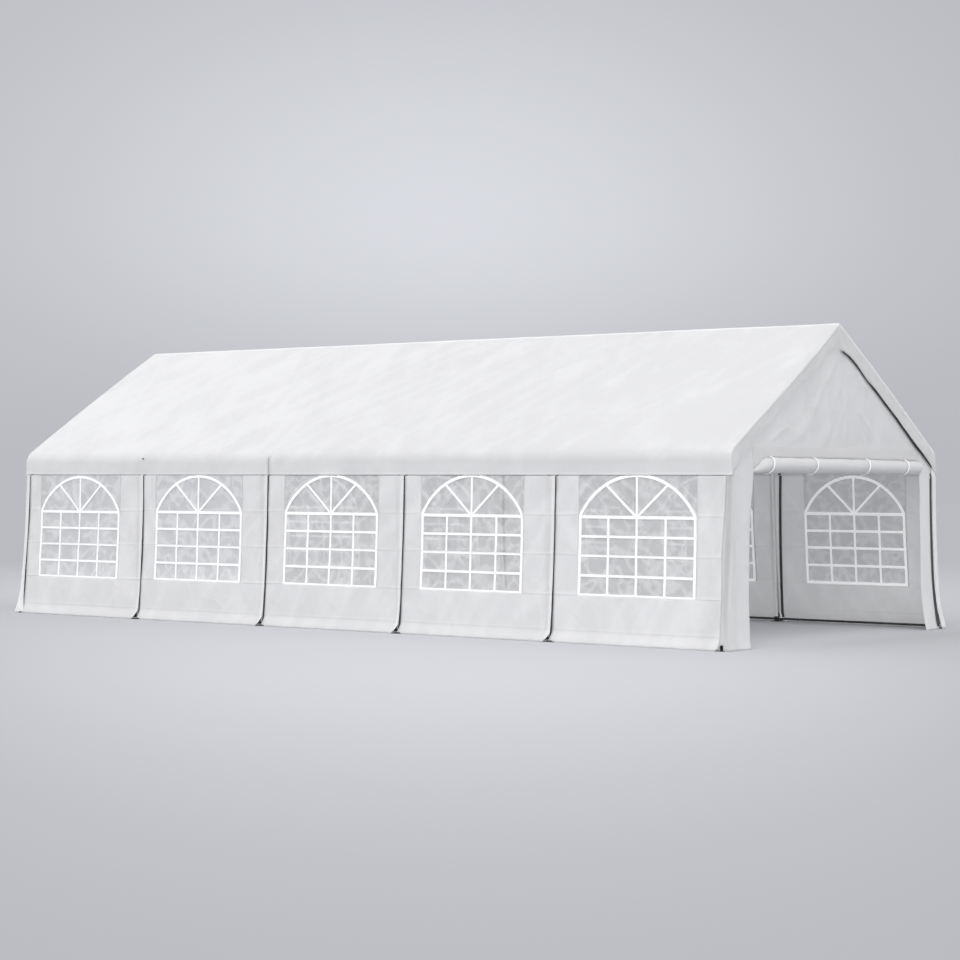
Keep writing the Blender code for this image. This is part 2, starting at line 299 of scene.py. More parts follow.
def mesh_of(name, grids):
    """One mesh from several grids; a face runs along the columns, then up the rows."""
    corners, flats, faces = [], [], []
    start = 0
    for points, flat, keep in grids:
        rows, columns = points.shape[:2]
        index = np.arange(rows * columns).reshape(rows, columns)
        quads = np.stack([index[:-1, :-1], index[:-1, 1:], index[1:, 1:], index[1:, :-1]], axis=-1)
        used, quads = np.unique(quads[keep], return_inverse=True)
        corners.append(points.reshape(-1, 3)[used])
        flats.append(flat.reshape(-1, 3)[used])
        faces.append(quads.reshape(-1, 4) + start)
        start += len(used)
    mesh = bpy.data.meshes.new(name)
    mesh.from_pydata(np.concatenate(corners).tolist(), [], np.concatenate(faces).tolist())
    cloth = mesh.attributes.new("cloth_m", "FLOAT_VECTOR", "POINT")
    cloth.data.foreach_set("vector", np.concatenate(flats).ravel())
    mesh.shade_smooth()
    return mesh


def add_object(name, data):
    made = bpy.data.objects.new(name, data)
    bpy.context.scene.collection.objects.link(made)
    return made


def add_piece(name, grids, material, x=0.0, turned=False, thickness=0.0, offset=-1.0):
    """A piece of the tent at x along the ridge, or turned half round for the other side or end."""
    mesh = mesh_of(name, grids)
    if turned:
        mesh.transform(Matrix.Rotation(math.pi, 4, "Z"))
    mesh.transform(Matrix.Translation((x, 0.0, 0.0)))
    mesh.materials.append(material)
    piece = add_object(name, mesh)
    if thickness:
        solid = piece.modifiers.new("thickness", "SOLIDIFY")
        solid.thickness = thickness
        solid.offset = offset
    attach(piece, "root")
    return piece


def add_second_material(piece, material, first_grids):
    """A second material on all faces after those of the first grids."""
    mesh = piece.data
    mesh.materials.append(material)
    count = sum(int(keep.sum()) for _, _, keep in first_grids)
    mesh.polygons.foreach_set("material_index", [int(n >= count) for n in range(len(mesh.polygons))])


# Material helpers

CLOUDS = (1.7, 4.0)
MARKS = (14.0, 5.0, 0.6)
FOLDS = (9.0, 6.0, 0.58)
CRUMPLE_SCALE = 3.2
STREAK_SCALE = 3.4
STREAK_STRETCH = 4.5
STREAKS = ((-0.6, 1.0), (0.35, 0.6))
RIDGE_RANGE = (0.35, 1.6)
TRIM_TONE = (0.97, 0.97, 0.972)
PAINTED_FOLD_SHADE = 0.70
FILM_CREASE_SCALE = 5.5
FACET_SCALE = 9.0
PAINTED_FACET_REFLECTION = 0.10
PAINTED_CREASE_SHADE = 0.09
FILM_OPACITY = 0.62
WHITE = (1.0, 1.0, 1.0, 1.0)


class Value:
    """An output of a node. Sums and products of values become math nodes, so a pattern reads as a formula."""

    def __init__(self, socket):
        self.socket = socket
        self.tree = socket.id_data

    def __add__(self, other):
        return calculate("ADD", self, other)

    def __sub__(self, other):
        return calculate("SUBTRACT", self, other)

    def __rsub__(self, other):
        return calculate("SUBTRACT", other, self)

    def __mul__(self, other):
        return calculate("MULTIPLY", self, other)

    def __truediv__(self, other):
        return calculate("DIVIDE", self, other)


def new_tree(name):
    material = bpy.data.materials.new(name)
    material.use_nodes = True
    material.node_tree.nodes.clear()
    return material, material.node_tree


def node(tree, kind, settings=(), output=0, **sockets):
    """The wanted output of a new node, whose sockets are set to numbers or linked to other values."""
    made = tree.nodes.new(kind)
    for key, setting in dict(settings).items():
        setattr(made, key, setting)
    for key, given in sockets.items():
        socket = made.inputs[int(key[1:])] if key[1:].isdigit() else made.inputs[key.replace("_", " ")]
        if isinstance(given, Value):
            tree.links.new(given.socket, socket)
        else:
            socket.default_value = given
    return Value(made.outputs[output]) if made.outputs else None


def calculate(operation, first, second=0.0):
    """A math node on two values, or on a value and a number."""
    tree = first.tree if isinstance(first, Value) else second.tree
    return node(tree, "ShaderNodeMath", {"operation": operation}, _0=first, _1=second)


def scaled(vector, factor):
    return node(factor.tree, "ShaderNodeVectorMath", {"operation": "SCALE"}, _0=vector, Scale=factor)


def axes(vector):
    """The X, Y and Z of a vector."""
    split = node(vector.tree, "ShaderNodeSeparateXYZ", Vector=vector).socket.node
    return [Value(output) for output in split.outputs]


def remap(value, low, high, to_low=0.0, to_high=1.0, smooth=False):
    settings = {"interpolation_type": "SMOOTHSTEP" if smooth else "LINEAR"}
    return node(value.tree, "ShaderNodeMapRange", settings, Value=value, From_Min=low, From_Max=high,
                To_Min=to_low, To_Max=to_high)


def noise(place, scale, detail=3.0, roughness=0.55):
    return node(place.tree, "ShaderNodeTexNoise", (), "Fac", Vector=place, Scale=scale, Detail=detail,
                Roughness=roughness)


def ridges_of(place, scale):
    """Sharp branching ridges from 0 to 1, as in cloth or film that was folded and pressed."""
    settings = {"noise_type": "RIDGED_MULTIFRACTAL", "normalize": True}
    ridges = node(place.tree, "ShaderNodeTexNoise", settings, "Fac", Vector=place, Scale=scale, Detail=2.0,
                  Roughness=0.5, Distortion=0.4, Offset=1.0)
    return remap(ridges, *RIDGE_RANGE)


def painted_wrinkle_streaks(place, angle):
    """Long soft ridges at an angle, as in cloth that is pulled one way; in a colour they are painted light
    and shade of its wrinkles.
    """
    drawn = node(place.tree, "ShaderNodeMapping", {"vector_type": "TEXTURE"}, Vector=place,
                 Rotation=(0.0, 0.0, angle), Scale=(1.0, STREAK_STRETCH, 1.0))
    return ridges_of(drawn, STREAK_SCALE)


def facets_of(place):
    """Patches with a tone of their own each, and their thin borders, as in film that was creased; in a colour
    they are painted reflections on the facets and painted shade along the creases.
    """
    tree = place.tree
    shifted = scaled((1.0, 1.0, 0.0), noise(place, 5.0, 2.0) * 0.12)
    spot = node(tree, "ShaderNodeVectorMath", {"operation": "ADD"}, _0=place, _1=shifted)
    cells = node(tree, "ShaderNodeTexVoronoi", (), "Color", Vector=spot, Scale=FACET_SCALE)
    border = node(tree, "ShaderNodeTexVoronoi", {"feature": "DISTANCE_TO_EDGE"}, "Distance", Vector=spot,
                  Scale=FACET_SCALE)
    return axes(cells)[0], remap(border, 0.0, 0.07, 1.0, 0.0)


def two_tone(factor, first, second):
    """A colour between two tones; a tone is another node's colour or three numbers."""
    first, second = (tone if isinstance(tone, Value) else (*tone, 1.0) for tone in (first, second))
    return node(factor.tree, "ShaderNodeMix", {"data_type": "RGBA"}, 2, _0=factor, _6=first, _7=second)


def weave(place, pitch):
    """Over and under of a plain weave, from two crossed sets of bands."""
    scale = math.pi / (10.0 * pitch)
    across, along = (
        node(place.tree, "ShaderNodeTexWave", {"wave_type": "BANDS", "bands_direction": direction}, "Fac",
             Vector=place, Scale=scale) for direction in "XY")
    return across * along


def bump(height, depth, strength=1.0, **under):
    return node(height.tree, "ShaderNodeBump", Height=height, Strength=strength, Distance=depth, **under)


def principled(colour, roughness, normal, **sockets):
    return node(colour.tree, "ShaderNodeBsdfPrincipled", Base_Color=colour, Roughness=roughness,
                Normal=normal, **sockets)


def finish_surface(shader, translucent=0.0):
    """The material's output, with a share of light let through the sheet."""
    if translucent:
        through = node(shader.tree, "ShaderNodeBsdfTranslucent", Color=WHITE)
        shader = node(shader.tree, "ShaderNodeMixShader", _0=translucent, _1=shader, _2=through)
    node(shader.tree, "ShaderNodeOutputMaterial", Surface=shader)


def cloth_place(tree):
    """Place on the flat cloth in metres, with the share of pale trim as the third number, which below 0 is
    painted shade.
    """
    return node(tree, "ShaderNodeAttribute", {"attribute_name": "cloth_m"}, "Vector")


# Materials


def cloth_material(name, dark, light, roughness, translucent, wrinkle, pitch=0.0022, glow=0.0, crumple=0.0,
                   painted_light_slope=0.0, streak=0.0):
    """Coated woven sheet: faint weave, small wrinkles, cloudy colour and uneven sheen.

    Where the stored trim is above 0 the sheet is paler, and below 0 it is darker with painted shade, as in a
    deep fold.
    It may also be painted paler towards one end of the tent, with streaks of painted light and shade along
    pulled wrinkles, and a glow of painted light.
    """
    material, tree = new_tree(name)
    along, up, trim = axes(cloth_place(tree))
    place = node(tree, "ShaderNodeCombineXYZ", X=along, Y=up)
    marks = noise(place, *MARKS)
    mixed = noise(place, *CLOUDS) * 0.5 + marks * 0.5
    # Painted light and shade of long pulled wrinkles, as paler and darker streaks.
    if streak:
        for angle, share in STREAKS:
            mixed += remap(painted_wrinkle_streaks(place, angle), 0.15, 0.85, -share * streak, share * streak)
    # Painted light: paler towards the rear end and darker towards the front.
    if painted_light_slope:
        mixed += remap(along, -HALF_FRAME, HALF_FRAME, painted_light_slope, -painted_light_slope)
    edged = two_tone(trim, two_tone(remap(mixed, 0.35, 0.65), dark, light), TRIM_TONE)
    # Painted shade darkens the colour where the trim is below 0, as in a deep fold.
    colour = scaled(edged, remap(trim, -1.0, 0.0, PAINTED_FOLD_SHADE, 1.0))
    surface = bump(weave(place, pitch), 0.0003, 0.25)
    surface = bump(noise(place, *FOLDS), 0.007, wrinkle, Normal=surface)
    if crumple:
        surface = bump(ridges_of(place, CRUMPLE_SCALE), crumple, Normal=surface)
    gloss = remap(marks, 0.3, 0.7, roughness - 0.07, roughness + 0.07)
    # The glow is painted light, as if the sheet were lit from behind.
    emission = {"Emission_Color": WHITE, "Emission_Strength": glow} if glow else {}
    shader = principled(colour, gloss, surface, Sheen_Weight=0.08, Sheen_Roughness=0.5, **emission)
    finish_surface(shader, translucent)
    return material


def film_material():
    """Clear crinkled film, cloudy and glossy, with painted reflections on its facets and painted shade along
    its creases.
    """
    material, tree = new_tree("crinkled_film")
    place = cloth_place(tree)
    haze = noise(place, 3.2, 4.0)
    ridges = ridges_of(place, FILM_CREASE_SCALE)
    tone, border = facets_of(place)
    # Painted shade along the creases and painted reflections on the facets, over the film's own cloudy tone.
    mixed = haze * 0.45 + ridges * 0.55 - border * PAINTED_CREASE_SHADE
    mixed += remap(tone, 0.0, 1.0, -PAINTED_FACET_REFLECTION, PAINTED_FACET_REFLECTION)
    colour = two_tone(remap(mixed, 0.36, 0.64), (0.575, 0.577, 0.583), (0.725, 0.725, 0.73))
    gloss = remap(haze, 0.35, 0.7, 0.16, 0.32)
    finish_surface(principled(colour, gloss, bump(ridges, 0.002), Alpha=FILM_OPACITY, IOR=1.5))
    return material


def steel_material():
    """White powder coat over tube: fine orange peel and light rubbing."""
    material, tree = new_tree("powder_coat")
    place = node(tree, "ShaderNodeTexCoord", (), "Object")
    rub = noise(place, 7.0, 5.0, 0.6)
    colour = two_tone(remap(rub, 0.4, 0.7), (0.94, 0.94, 0.94), (0.87, 0.87, 0.866))
    peel = bump(noise(place, 420.0, 2.0), 0.0004, 0.2)
    finish_surface(principled(colour, remap(rub, 0.35, 0.7, 0.32, 0.5), peel))
    return material


def black_material():
    """Matt black coat of the feet and ground rails, dusty in places."""
    material, tree = new_tree("matt_black")
    place = node(tree, "ShaderNodeTexCoord", (), "Object")
    dust = noise(place, 22.0, 5.0, 0.65)
    colour = two_tone(remap(dust, 0.45, 0.75), (0.022, 0.022, 0.024), (0.075, 0.074, 0.072))
    grain = bump(noise(place, 600.0, 2.0), 0.0004, 0.3)
    finish_surface(principled(colour, remap(dust, 0.3, 0.7, 0.5, 0.75), grain))
    return material


def tape_material():
    """Dark ribbed tape of the joints between panels; the same dark material makes the painted shadow under
    the loose flap.
    """
    material, tree = new_tree("joint_tape")
    place = cloth_place(tree)
    wear = noise(place, 30.0, 4.0)
    colour = two_tone(wear, (0.035, 0.035, 0.037), (0.085, 0.085, 0.088))
    rib = bump(weave(place, 0.003), 0.0006, 0.4)
    finish_surface(principled(colour, remap(wear, 0.3, 0.7, 0.6, 0.8), rib))
    return material


def make_materials():
    """All materials. A cloth's numbers are its roughness, the light it lets through and its wrinkles."""
    bar_tones = (0.93, 0.93, 0.933), (0.96, 0.96, 0.962)
    return {
        # The cover is painted paler towards the rear end and darker towards the front, as painted light.
        "cover": cloth_material("cover_cloth", (0.748, 0.748, 0.754), (0.828, 0.828, 0.833), 0.52, 0.41, 0.34,
                                crumple=0.003, painted_light_slope=0.13, streak=0.09),
        "wall": cloth_material("wall_cloth", (0.784, 0.784, 0.789), (0.852, 0.852, 0.856), 0.55, 0.41, 0.46,
                               crumple=0.004, streak=0.13),
        "end wall": cloth_material("end_wall_cloth", (0.815, 0.815, 0.820), (0.855, 0.855, 0.859), 0.55, 0.41,
                                   0.45, crumple=0.006, streak=0.10),
        "roll": cloth_material("roll_cloth", (0.720, 0.720, 0.726), (0.755, 0.755, 0.760), 0.55, 0.20, 0.5),
        "bars": cloth_material("printed_bars", *bar_tones, 0.4, 0.0, 0.15),
        # The inner face of the bars glows with painted light, as if lit through the film.
        "bars inside painted glow": cloth_material("printed_bars_inside_painted_glow", *bar_tones, 0.4, 0.0, 0.15, glow=0.25),
        "tie": cloth_material("tie_tape", (0.94, 0.94, 0.942), (0.96, 0.96, 0.962), 0.5, 0.0, 0.2, 0.0016),
        "film": film_material(),
        "steel": steel_material(),
        "black": black_material(),
        "tape": tape_material(),
    }


# Roof cover

RAKE_ROUND = 0.020
GABLE_PARTS = 8
RAKE_SAG = 0.028
RAKE_BULGE = 0.012
BAY_SAG = 0.007
VALANCE_LEAN = 0.009
RIDGE_SEAM = 0.034
SEAM_X = -1.0
SLIT = 0.012
SLIT_TOP = 0.215
HEM = 0.026
FLAP_REACH = 0.21
HEM_TRIM = 0.2
VALANCE_TRIM = 0.36
PRESSED_TRIM = 0.42
LOOSE_TRIM = 0.2
PAINTED_RAKE_SHADOW = -0.9
RAKE_SHADOW_PEEK = 0.011
RAKE_SHADOW_WIDTH = 0.05
RAKE_SHADOW_STANDS = (0.010, 0.002)


def cover_columns():
    """Columns of the cover: share of the way to the gable edge, turn round it, and share of the flap."""
    slit = [(SEAM_X - SLIT / 2) / END_FACE_X, (SEAM_X + SLIT / 2) / END_FACE_X]
    middle = spaced([-1.0, -0.986, *slit, 0.986, 1.0], 0.0085)
    turns = np.arange(1, 5) / 4
    flap = np.arange(1, GABLE_PARTS + 1) / GABLE_PARTS
    columns = [(-1.0, 1.0, f) for f in flap[::-1]] + [(-1.0, t, 0.0) for t in turns[::-1]]
    columns += [(m, 0.0, 0.0) for m in middle]
    columns += [(1.0, t, 0.0) for t in turns] + [(1.0, 1.0, f) for f in flap]
    return np.array(columns).T


def cover_rows():
    """Rows of the cover, by their distance along its outline."""
    near = [0.0, 0.005, 0.020, HEM, 0.032, 0.1, VALANCE, VALANCE + SHOULDER_ARC / 2, SLOPE_START, 0.4]
    near += [HALF_OUTLINE - 0.04, HALF_OUTLINE - RIDGE_SEAM, HALF_OUTLINE - RIDGE_ARC, HALF_OUTLINE]
    marks = near + [2 * HALF_OUTLINE - s for s in near[-2::-1]]
    return spaced(marks, 0.038)


def cover_lift(x, s, t, slope_share):
    """How far the cloth stands out of the plain form: sag between frames, wrinkles, waves and seams."""
    on_slope = ease((t - VALANCE) / 0.12)
    bay = np.abs(np.cos(math.pi * (x + 1.0) / BAY))
    sag = -BAY_SAG * (1.0 - bay ** 2) * on_slope * np.sin(math.pi * np.clip(slope_share, 0.0, 1.0)) ** 0.5
    crest = 0.0022 * hump(bay, 1.0, 0.012) * on_slope
    broad = 0.0020 * waves(x, s, (0.9, 0.55), 11, 0.5) * on_slope
    slanted = 0.0060 * creases(x, s, (0.55, 1.6), 12, 0.62, 5) * ease((0.9 - t) / 0.8) * on_slope
    fine = 0.0010 * waves(x, s, (0.16, 0.30), 13, -0.4)
    pull = 0.0052 * creases(x, s, (0.30, 1.0), 14, -0.75, 6) * ease((0.55 - t) / 0.45)
    hanging = share_below(t, VALANCE)
    valance = -VALANCE_LEAN * hanging ** 1.5 + 0.0065 * hanging * waves(x, 0.0, (0.34, 1.0), 15)
    valance = valance + 0.0065 * hanging * creases(x, t, (0.22, 0.5), 17, 0.3, 4)
    droop = 0.0024 * hump(t, 0.12, 0.010) * (0.5 + 0.5 * waves(x, t, (0.5, 1.0), 16))
    hem = 0.0008 * ease((HEM - t) / 0.004) - 0.0007 * hump(t, HEM + 0.002, 0.003)
    seam = 0.0040 * hump(x, SEAM_X + 0.02, 0.018) * ease((SLOPE_START - t) / 0.05)
    ridge = 0.0020 * ease((t - HALF_OUTLINE + RIDGE_SEAM) / 0.004)
    return sag + crest + broad + slanted + fine + pull + valance + droop + hem + seam + ridge


def flap_hem(s):
    """Length climbed along the flap's hem, and the hem's Y and Z without the rake's own sag or bulge."""
    t = HALF_OUTLINE - np.abs(s - HALF_OUTLINE)
    hem_length = FLAP_CORNER_Y / math.cos(ROOF_PITCH)
    climbed = np.interp(t, [0.0, SLOPE_START, HALF_OUTLINE], [0.0, 0.10, hem_length])
    y = np.where(s > HALF_OUTLINE, 1.0, -1.0) * (FLAP_CORNER_Y - climbed * math.cos(ROOF_PITCH))
    z = VALANCE_BOTTOM + climbed * math.sin(ROOF_PITCH) - FLAP_DIP * hump(y, 0.0, 0.13)
    return climbed, y, z + 0.011 * waves(s, 0.0, (0.24, 1.0), 21) * ease(climbed / 0.3)


def rake_bulge(apex_share):
    return RAKE_BULGE * np.sin(math.pi * np.clip(apex_share, 0.0, 1.0))


def make_roof_cover(material):
    """The cover: one grid over both slopes, with a valance down each side and a flap down each gable edge."""
    along, turn, flap = cover_columns()
    s = cover_rows()[:, None]
    y, z, ny, nz = cover_outline(s)
    t = HALF_OUTLINE - np.abs(s - HALF_OUTLINE)
    slope_share = (t - SLOPE_START) / (HALF_OUTLINE - SLOPE_START)
    front = np.sign(along)[None, :]
    pressed = np.where(y < 0, 1.0, -1.0) * front > 0
    lean = np.where(front > 0, FRONT_LEAN, REAR_LEAN)
    edge = end_face(z, lean)
    x = along * (edge - RAKE_ROUND * (1 - np.sin(turn * math.pi / 2)))

    # The rake sags above the pressed flap, which is the near one at the front and the far one at the rear.
    # Above the loose flap it bulges.
    apex_share = 1.0 - slope_share
    sag = -RAKE_SAG * np.sin(math.pi * np.clip(apex_share, 0.0, 1.0) ** 0.66)
    rake = np.where(pressed, sag, rake_bulge(apex_share))
    at_edge = ease((np.abs(x) - (edge - 0.12)) / 0.11)
    calm = 1.0 - ease((np.abs(x) - (edge - 0.07)) / 0.05) * ease((t - VALANCE) / 0.1)
    lift = cover_lift(x, s, t, slope_share) * calm + rake * at_edge
    y_top, z_top = y + ny * lift, z + nz * lift

    # The flap runs from the rake edge to its hem, which meets the valance's foot at the corner
    climbed, hem_y, hem_z = flap_hem(s)
    hem_z = hem_z + rake * ease(climbed / 0.3)
    depth = np.hypot(hem_y - y_top, hem_z - z_top)
    round_share = np.clip(RAKE_ROUND / np.maximum(depth, 2 * RAKE_ROUND), 0.0, 0.5)
    down = round_share * (1 - np.cos(turn * math.pi / 2)) + (1 - round_share) * flap
    y_out = y_top + (hem_y - y_top) * down
    z_out = z_top + (hem_z - z_top) * down

    # One flap is pressed flat on the gable, the other one stands off it with a wavy hem
    down_flap = flap * FLAP_REACH
    stand_off = np.where(pressed, -0.014, 0.026 + 0.015 * waves(s, 0.0, (0.26, 1.0), 22))
    stand_off = stand_off * flap ** 1.5 * ease(climbed / 0.25)
    stand_off = stand_off + 0.0020 * waves(s, flap * 0.2, (0.12, 0.2), 23) * flap
    folds = creases(s, down_flap, (0.16, 0.34), 24, 0.5, 4) + creases(s, down_flap, (0.13, 0.3), 25, -0.7, 4)
    stand_off = stand_off + 0.0095 * (folds - 0.7) * hump(flap, 0.55, 0.35) * ease(climbed / 0.3)
    outer = end_face(z_out, lean) + stand_off
    x = np.where(flap > 0, front * outer, x)
    run = np.where(flap > 0, front * (edge + 0.02 + flap * depth), x)

    # Pale valance and flaps; the ridge seam and the rake edge above the loose flap are painted paler as
    # painted highlights, and the dark line along the edge above the pressed flap is a painted shadow
    on_top = (flap == 0.0) * ease((t - VALANCE) / 0.1)
    pale_trims_and_painted_highlights = (
        ease((t - HALF_OUTLINE + RIDGE_SEAM) / 0.005) * (flap == 0.0),
        on_top * (turn > 0.2) * ~pressed,
        VALANCE_TRIM * ease((VALANCE - t) / 0.04) + HEM_TRIM * ease((HEM - t) / 0.004),
        np.where(pressed, PRESSED_TRIM, LOOSE_TRIM) * (flap > 0.0),
    )
    trim = np.maximum.reduce(np.broadcast_arrays(*pale_trims_and_painted_highlights))
    # Painted shadow: a dark line along the rake edge above the pressed flap.
    painted_rake_shadow_line = on_top * (turn > 0.6) * (turn < 0.9) * pressed
    trim = np.where(painted_rake_shadow_line > 0.05, PAINTED_RAKE_SHADOW * painted_rake_shadow_line, trim)
    in_slit = np.abs((x[1:, 1:] + x[:-1, :-1]) / 2 - SEAM_X) < SLIT / 2
    keep = ~(in_slit & (s[1:] < SLIT_TOP))
    sheet = grid(x, y_out, z_out, run, s, keep, trim)
    piece = add_piece("cover_sheet", [sheet], material, thickness=CLOTH)
    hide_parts("roof_cover")
    flat = (2 * HALF_OUTLINE, 2 * END_FACE_X + 2 * FLAP_REACH)


# Side walls and their windows


def shear(z, turned=False):
    """How far the near wall's cloth is drawn to the right towards the ground; the far wall hangs straight."""
    return (0.0 if turned else SHEAR) * share_below(z, WALL_TOP) ** 1.5


def joint_place(number, z, turned):
    """Shift of a joint from its frame at height z; joints count from 0 at the wall's left."""
    if turned or number >= BAYS:
        return 0.0 * z
    return JOINT_SHIFT[number] - JOINT_LEAN[number] * (1.0 - z / WALL_TOP)


def joint_gap(number, z, turned):
    """Width of the gap at a joint, which changes slowly with height."""
    width = FAR_GAP if turned else JOINT_GAP[number]
    return width * (1.0 + GAP_CHANGE * waves(0.0, z, (1.0, 0.35), 71 + number))


def joint_swing(z):
    """How far the joints between panels swing to the left at the ground."""
    return -JOINT_SWING * share_below(z, SWING_TOP) ** 2


def panel_seed(number, turned):
    return 100 * number + (1000 if turned else 0)


def wall_place(x, z, number, turned):
    """X, Y and Z of a panel's outer face at x from its middle.

    The corner panel ends straight and soft.
    """
    seed = panel_seed(number, turned)
    corner = float(number == BAYS)
    rise = 0.0 if turned else PANEL_RISE[number - 1]
    edge = ease((x - PANEL_BODY) / (BAY / 2 - PANEL_BODY))
    right = edge * (1.0 - corner)
    left = ease((-PANEL_BODY - x) / (BAY / 2 - PANEL_BODY))
    drawn = shear(z, turned) * (1.0 - edge * corner)
    drawn = drawn + left * joint_place(number - 1, z, turned) + right * joint_place(number, z, turned)
    gap = joint_gap(number - 1, z, turned)
    drawn = drawn + ease((-0.93 - x) / 0.05) * (gap - (FAR_GAP if turned else JOINT_GAP[number - 1]))
    if corner:
        drawn = drawn + edge * (CORNER_SHIFT - CORNER_BOW * hump(z, 0.95, 0.45))
        lifted = 0.018 * ease((x - 0.95) / 0.05) ** 1.5
        edge_lift = 0.003 * ease((x - 0.9) / 0.05)
    else:
        lifted = CORNER_LIFT * ease((x - 0.92) / 0.08) ** 1.5
        edge_lift = 0.007 * hump(x, 1.0 + JOINT_LEFT, 0.020) + 0.0036 * ease((x - LAP_SEAM) / 0.008)
    hem_lift = lifted + 0.5 * CORNER_LIFT * ease((-0.93 - x) / 0.07)
    below = ease((1.66 - z) / 0.25)
    soft = 0.0050 * waves(x, z, (0.55, 0.8), seed) + 0.0016 * waves(x, z, (0.17, 0.26), seed + 1, 0.5)
    pulls = 0.0046 * creases(x, z, (0.35, 1.1), seed + 2, 0.45, 6)
    pulls = pulls + 0.0040 * creases(x, z, (0.3, 0.9), seed + 3, -0.6, 6)
    level = z - rise
    folds = sum(hump(level, line, 0.005) - 0.4 * hump(level, line - 0.011, 0.006) for line in FOLD_LINES)
    skirt = 0.022 * ease((SKIRT - z) / SKIRT) + 0.0022 * hump(z, SKIRT + 0.006, 0.005)
    ripple = 0.006 * waves(x, z * 0.3, (0.24, 1.0), seed + 4) * ease((0.4 - z) / 0.4)
    curl = 0.018 * ease((0.30 - z) / 0.30) * right
    calm = 1.0 - 0.9 * edge * corner
    out = (soft + pulls) * calm * (0.25 + 0.75 * below) + 0.0036 * folds + skirt + ripple + edge_lift + curl
    drawn = drawn + joint_swing(z) * (right + left)
    return x + drawn, -(wall_y(z) + out), z + hem_lift * ease(1.0 - z / 0.11)


def window_x(x, number, turned):
    """Where a place of the drawn window lies on its panel: far windows are narrower, near ones differ."""
    if turned:
        return FAR_WINDOW_SHIFT[number - 1] + (x - WINDOW_SHIFT) * FAR_WINDOW_SHARE
    return WINDOW_SHIFT + PANEL_SHIFT[number - 1] + (x - WINDOW_SHIFT) * PANEL_SHARE[number - 1]


def film_place(x, z, number, turned):
    """X, Y and Z of the film behind its panel, crinkled inwards inside the window's border."""
    seed = panel_seed(number, turned)
    px, py, pz = wall_place(x, z, number, turned)
    left = window_x(WINDOW_SHIFT - WINDOW_HALF, number, turned)
    right = window_x(WINDOW_SHIFT + WINDOW_HALF, number, turned)
    side = np.minimum(x - left, right - x)
    inside = ease(side / 0.05) * ease(np.minimum(z - WINDOW_BOTTOM - 0.02, WINDOW_TOP - 0.05 - z) / 0.05)
    crinkle = 0.42 * creases(x, z, (0.15, 0.38), seed + 5, 0.6, 2)
    crinkle = crinkle + 0.34 * creases(x, z, (0.12, 0.34), seed + 6, -0.6, 2)
    crinkle = crinkle + 0.24 * creases(x, z, (0.07, 0.16), seed + 7, 0.2, 2)
    return px, py + FILM_BEHIND + CRINKLE_DEPTH * (1.0 - crinkle) * inside, pz


def ribbon(path, width, lift, place, depth=0.0):
    """Two strips along a path: one stands in front of the place by lift, one behind it by depth and lift."""
    path = np.asarray(path, float)
    ahead = np.gradient(path, axis=0)
    ahead /= np.linalg.norm(ahead, axis=1, keepdims=True)
    across = np.linspace(-0.5, 0.5, 4) * width
    u = path[:, 0, None] - ahead[:, 1, None] * across
    v = path[:, 1, None] + ahead[:, 0, None] * across
    x, y, z = place(u, v)
    front = grid(*(part[:, ::-1] for part in np.broadcast_arrays(x, y - lift, z, u, v)))
    return front, grid(x, y + depth + lift, z, u, v)


def straight(start, end, step=0.02):
    count = max(2, int(math.dist(start, end) / step))
    share = np.linspace(0.0, 1.0, count + 1)[:, None]
    return np.array(start) * (1 - share) + np.array(end) * share


def arch_path():
    half = BAR_COLUMNS[-1]
    radius = (half ** 2 + ARCH_RISE ** 2) / (2 * ARCH_RISE)
    centre_z = ARCH_FOOT + ARCH_RISE - radius
    reach = math.asin(half / radius)
    angles = np.linspace(reach, -reach, 60)
    return np.stack([WINDOW_SHIFT + radius * np.sin(angles), centre_z + radius * np.cos(angles)], axis=1)


def bar_paths():
    """Path and width of every printed bar of a window; each one stands a little further off than the last."""
    paths = []
    left, right = WINDOW_SHIFT + BAR_COLUMNS[0], WINDOW_SHIFT + BAR_COLUMNS[-1]
    arch = arch_path()
    for offset in BAR_COLUMNS:
        x = WINDOW_SHIFT + offset
        top = arch[:, 1].max() if offset == 0.0 else TRANSOM
        width = FRAME_BAR_WIDTH if offset in (BAR_COLUMNS[0], BAR_COLUMNS[-1]) else BAR_WIDTH
        paths.append((straight((x, BAR_ROWS[0]), (x, top)), width))
    for z in BAR_ROWS + (TRANSOM,):
        width = FRAME_BAR_WIDTH if z in (BAR_ROWS[0], TRANSOM) else BAR_WIDTH
        paths.append((straight((left - FRAME_BAR_WIDTH / 2, z), (right + FRAME_BAR_WIDTH / 2, z)), width))
    hub = np.array((WINDOW_SHIFT, TRANSOM))
    from_hub = arch - hub
    for angle in (-SPOKE_ANGLE, SPOKE_ANGLE):
        nearest = np.abs(np.arctan2(from_hub[:, 0], from_hub[:, 1]) - angle).argmin()
        paths.append((straight(tuple(hub), tuple(arch[nearest])), BAR_WIDTH))
    paths.append((arch, FRAME_BAR_WIDTH))
    return paths


def make_bars(name, place, materials, x, turned):
    """The printed bars of one window on both faces of its film; the inner face is a material of its own,
    which glows with painted light as if lit through the film.
    """
    outer, inner = [], []
    for count, (path, width) in enumerate(bar_paths()):
        front, back = ribbon(path, width, BAR_STAND + BAR_STEP * count, place, CRINKLE_DEPTH + 0.002)
        outer.append(front)
        inner.append(back)
    bars = add_piece(name, outer + inner, materials["bars"], x, turned)
    add_second_material(bars, materials["bars inside painted glow"], outer)
    return bars


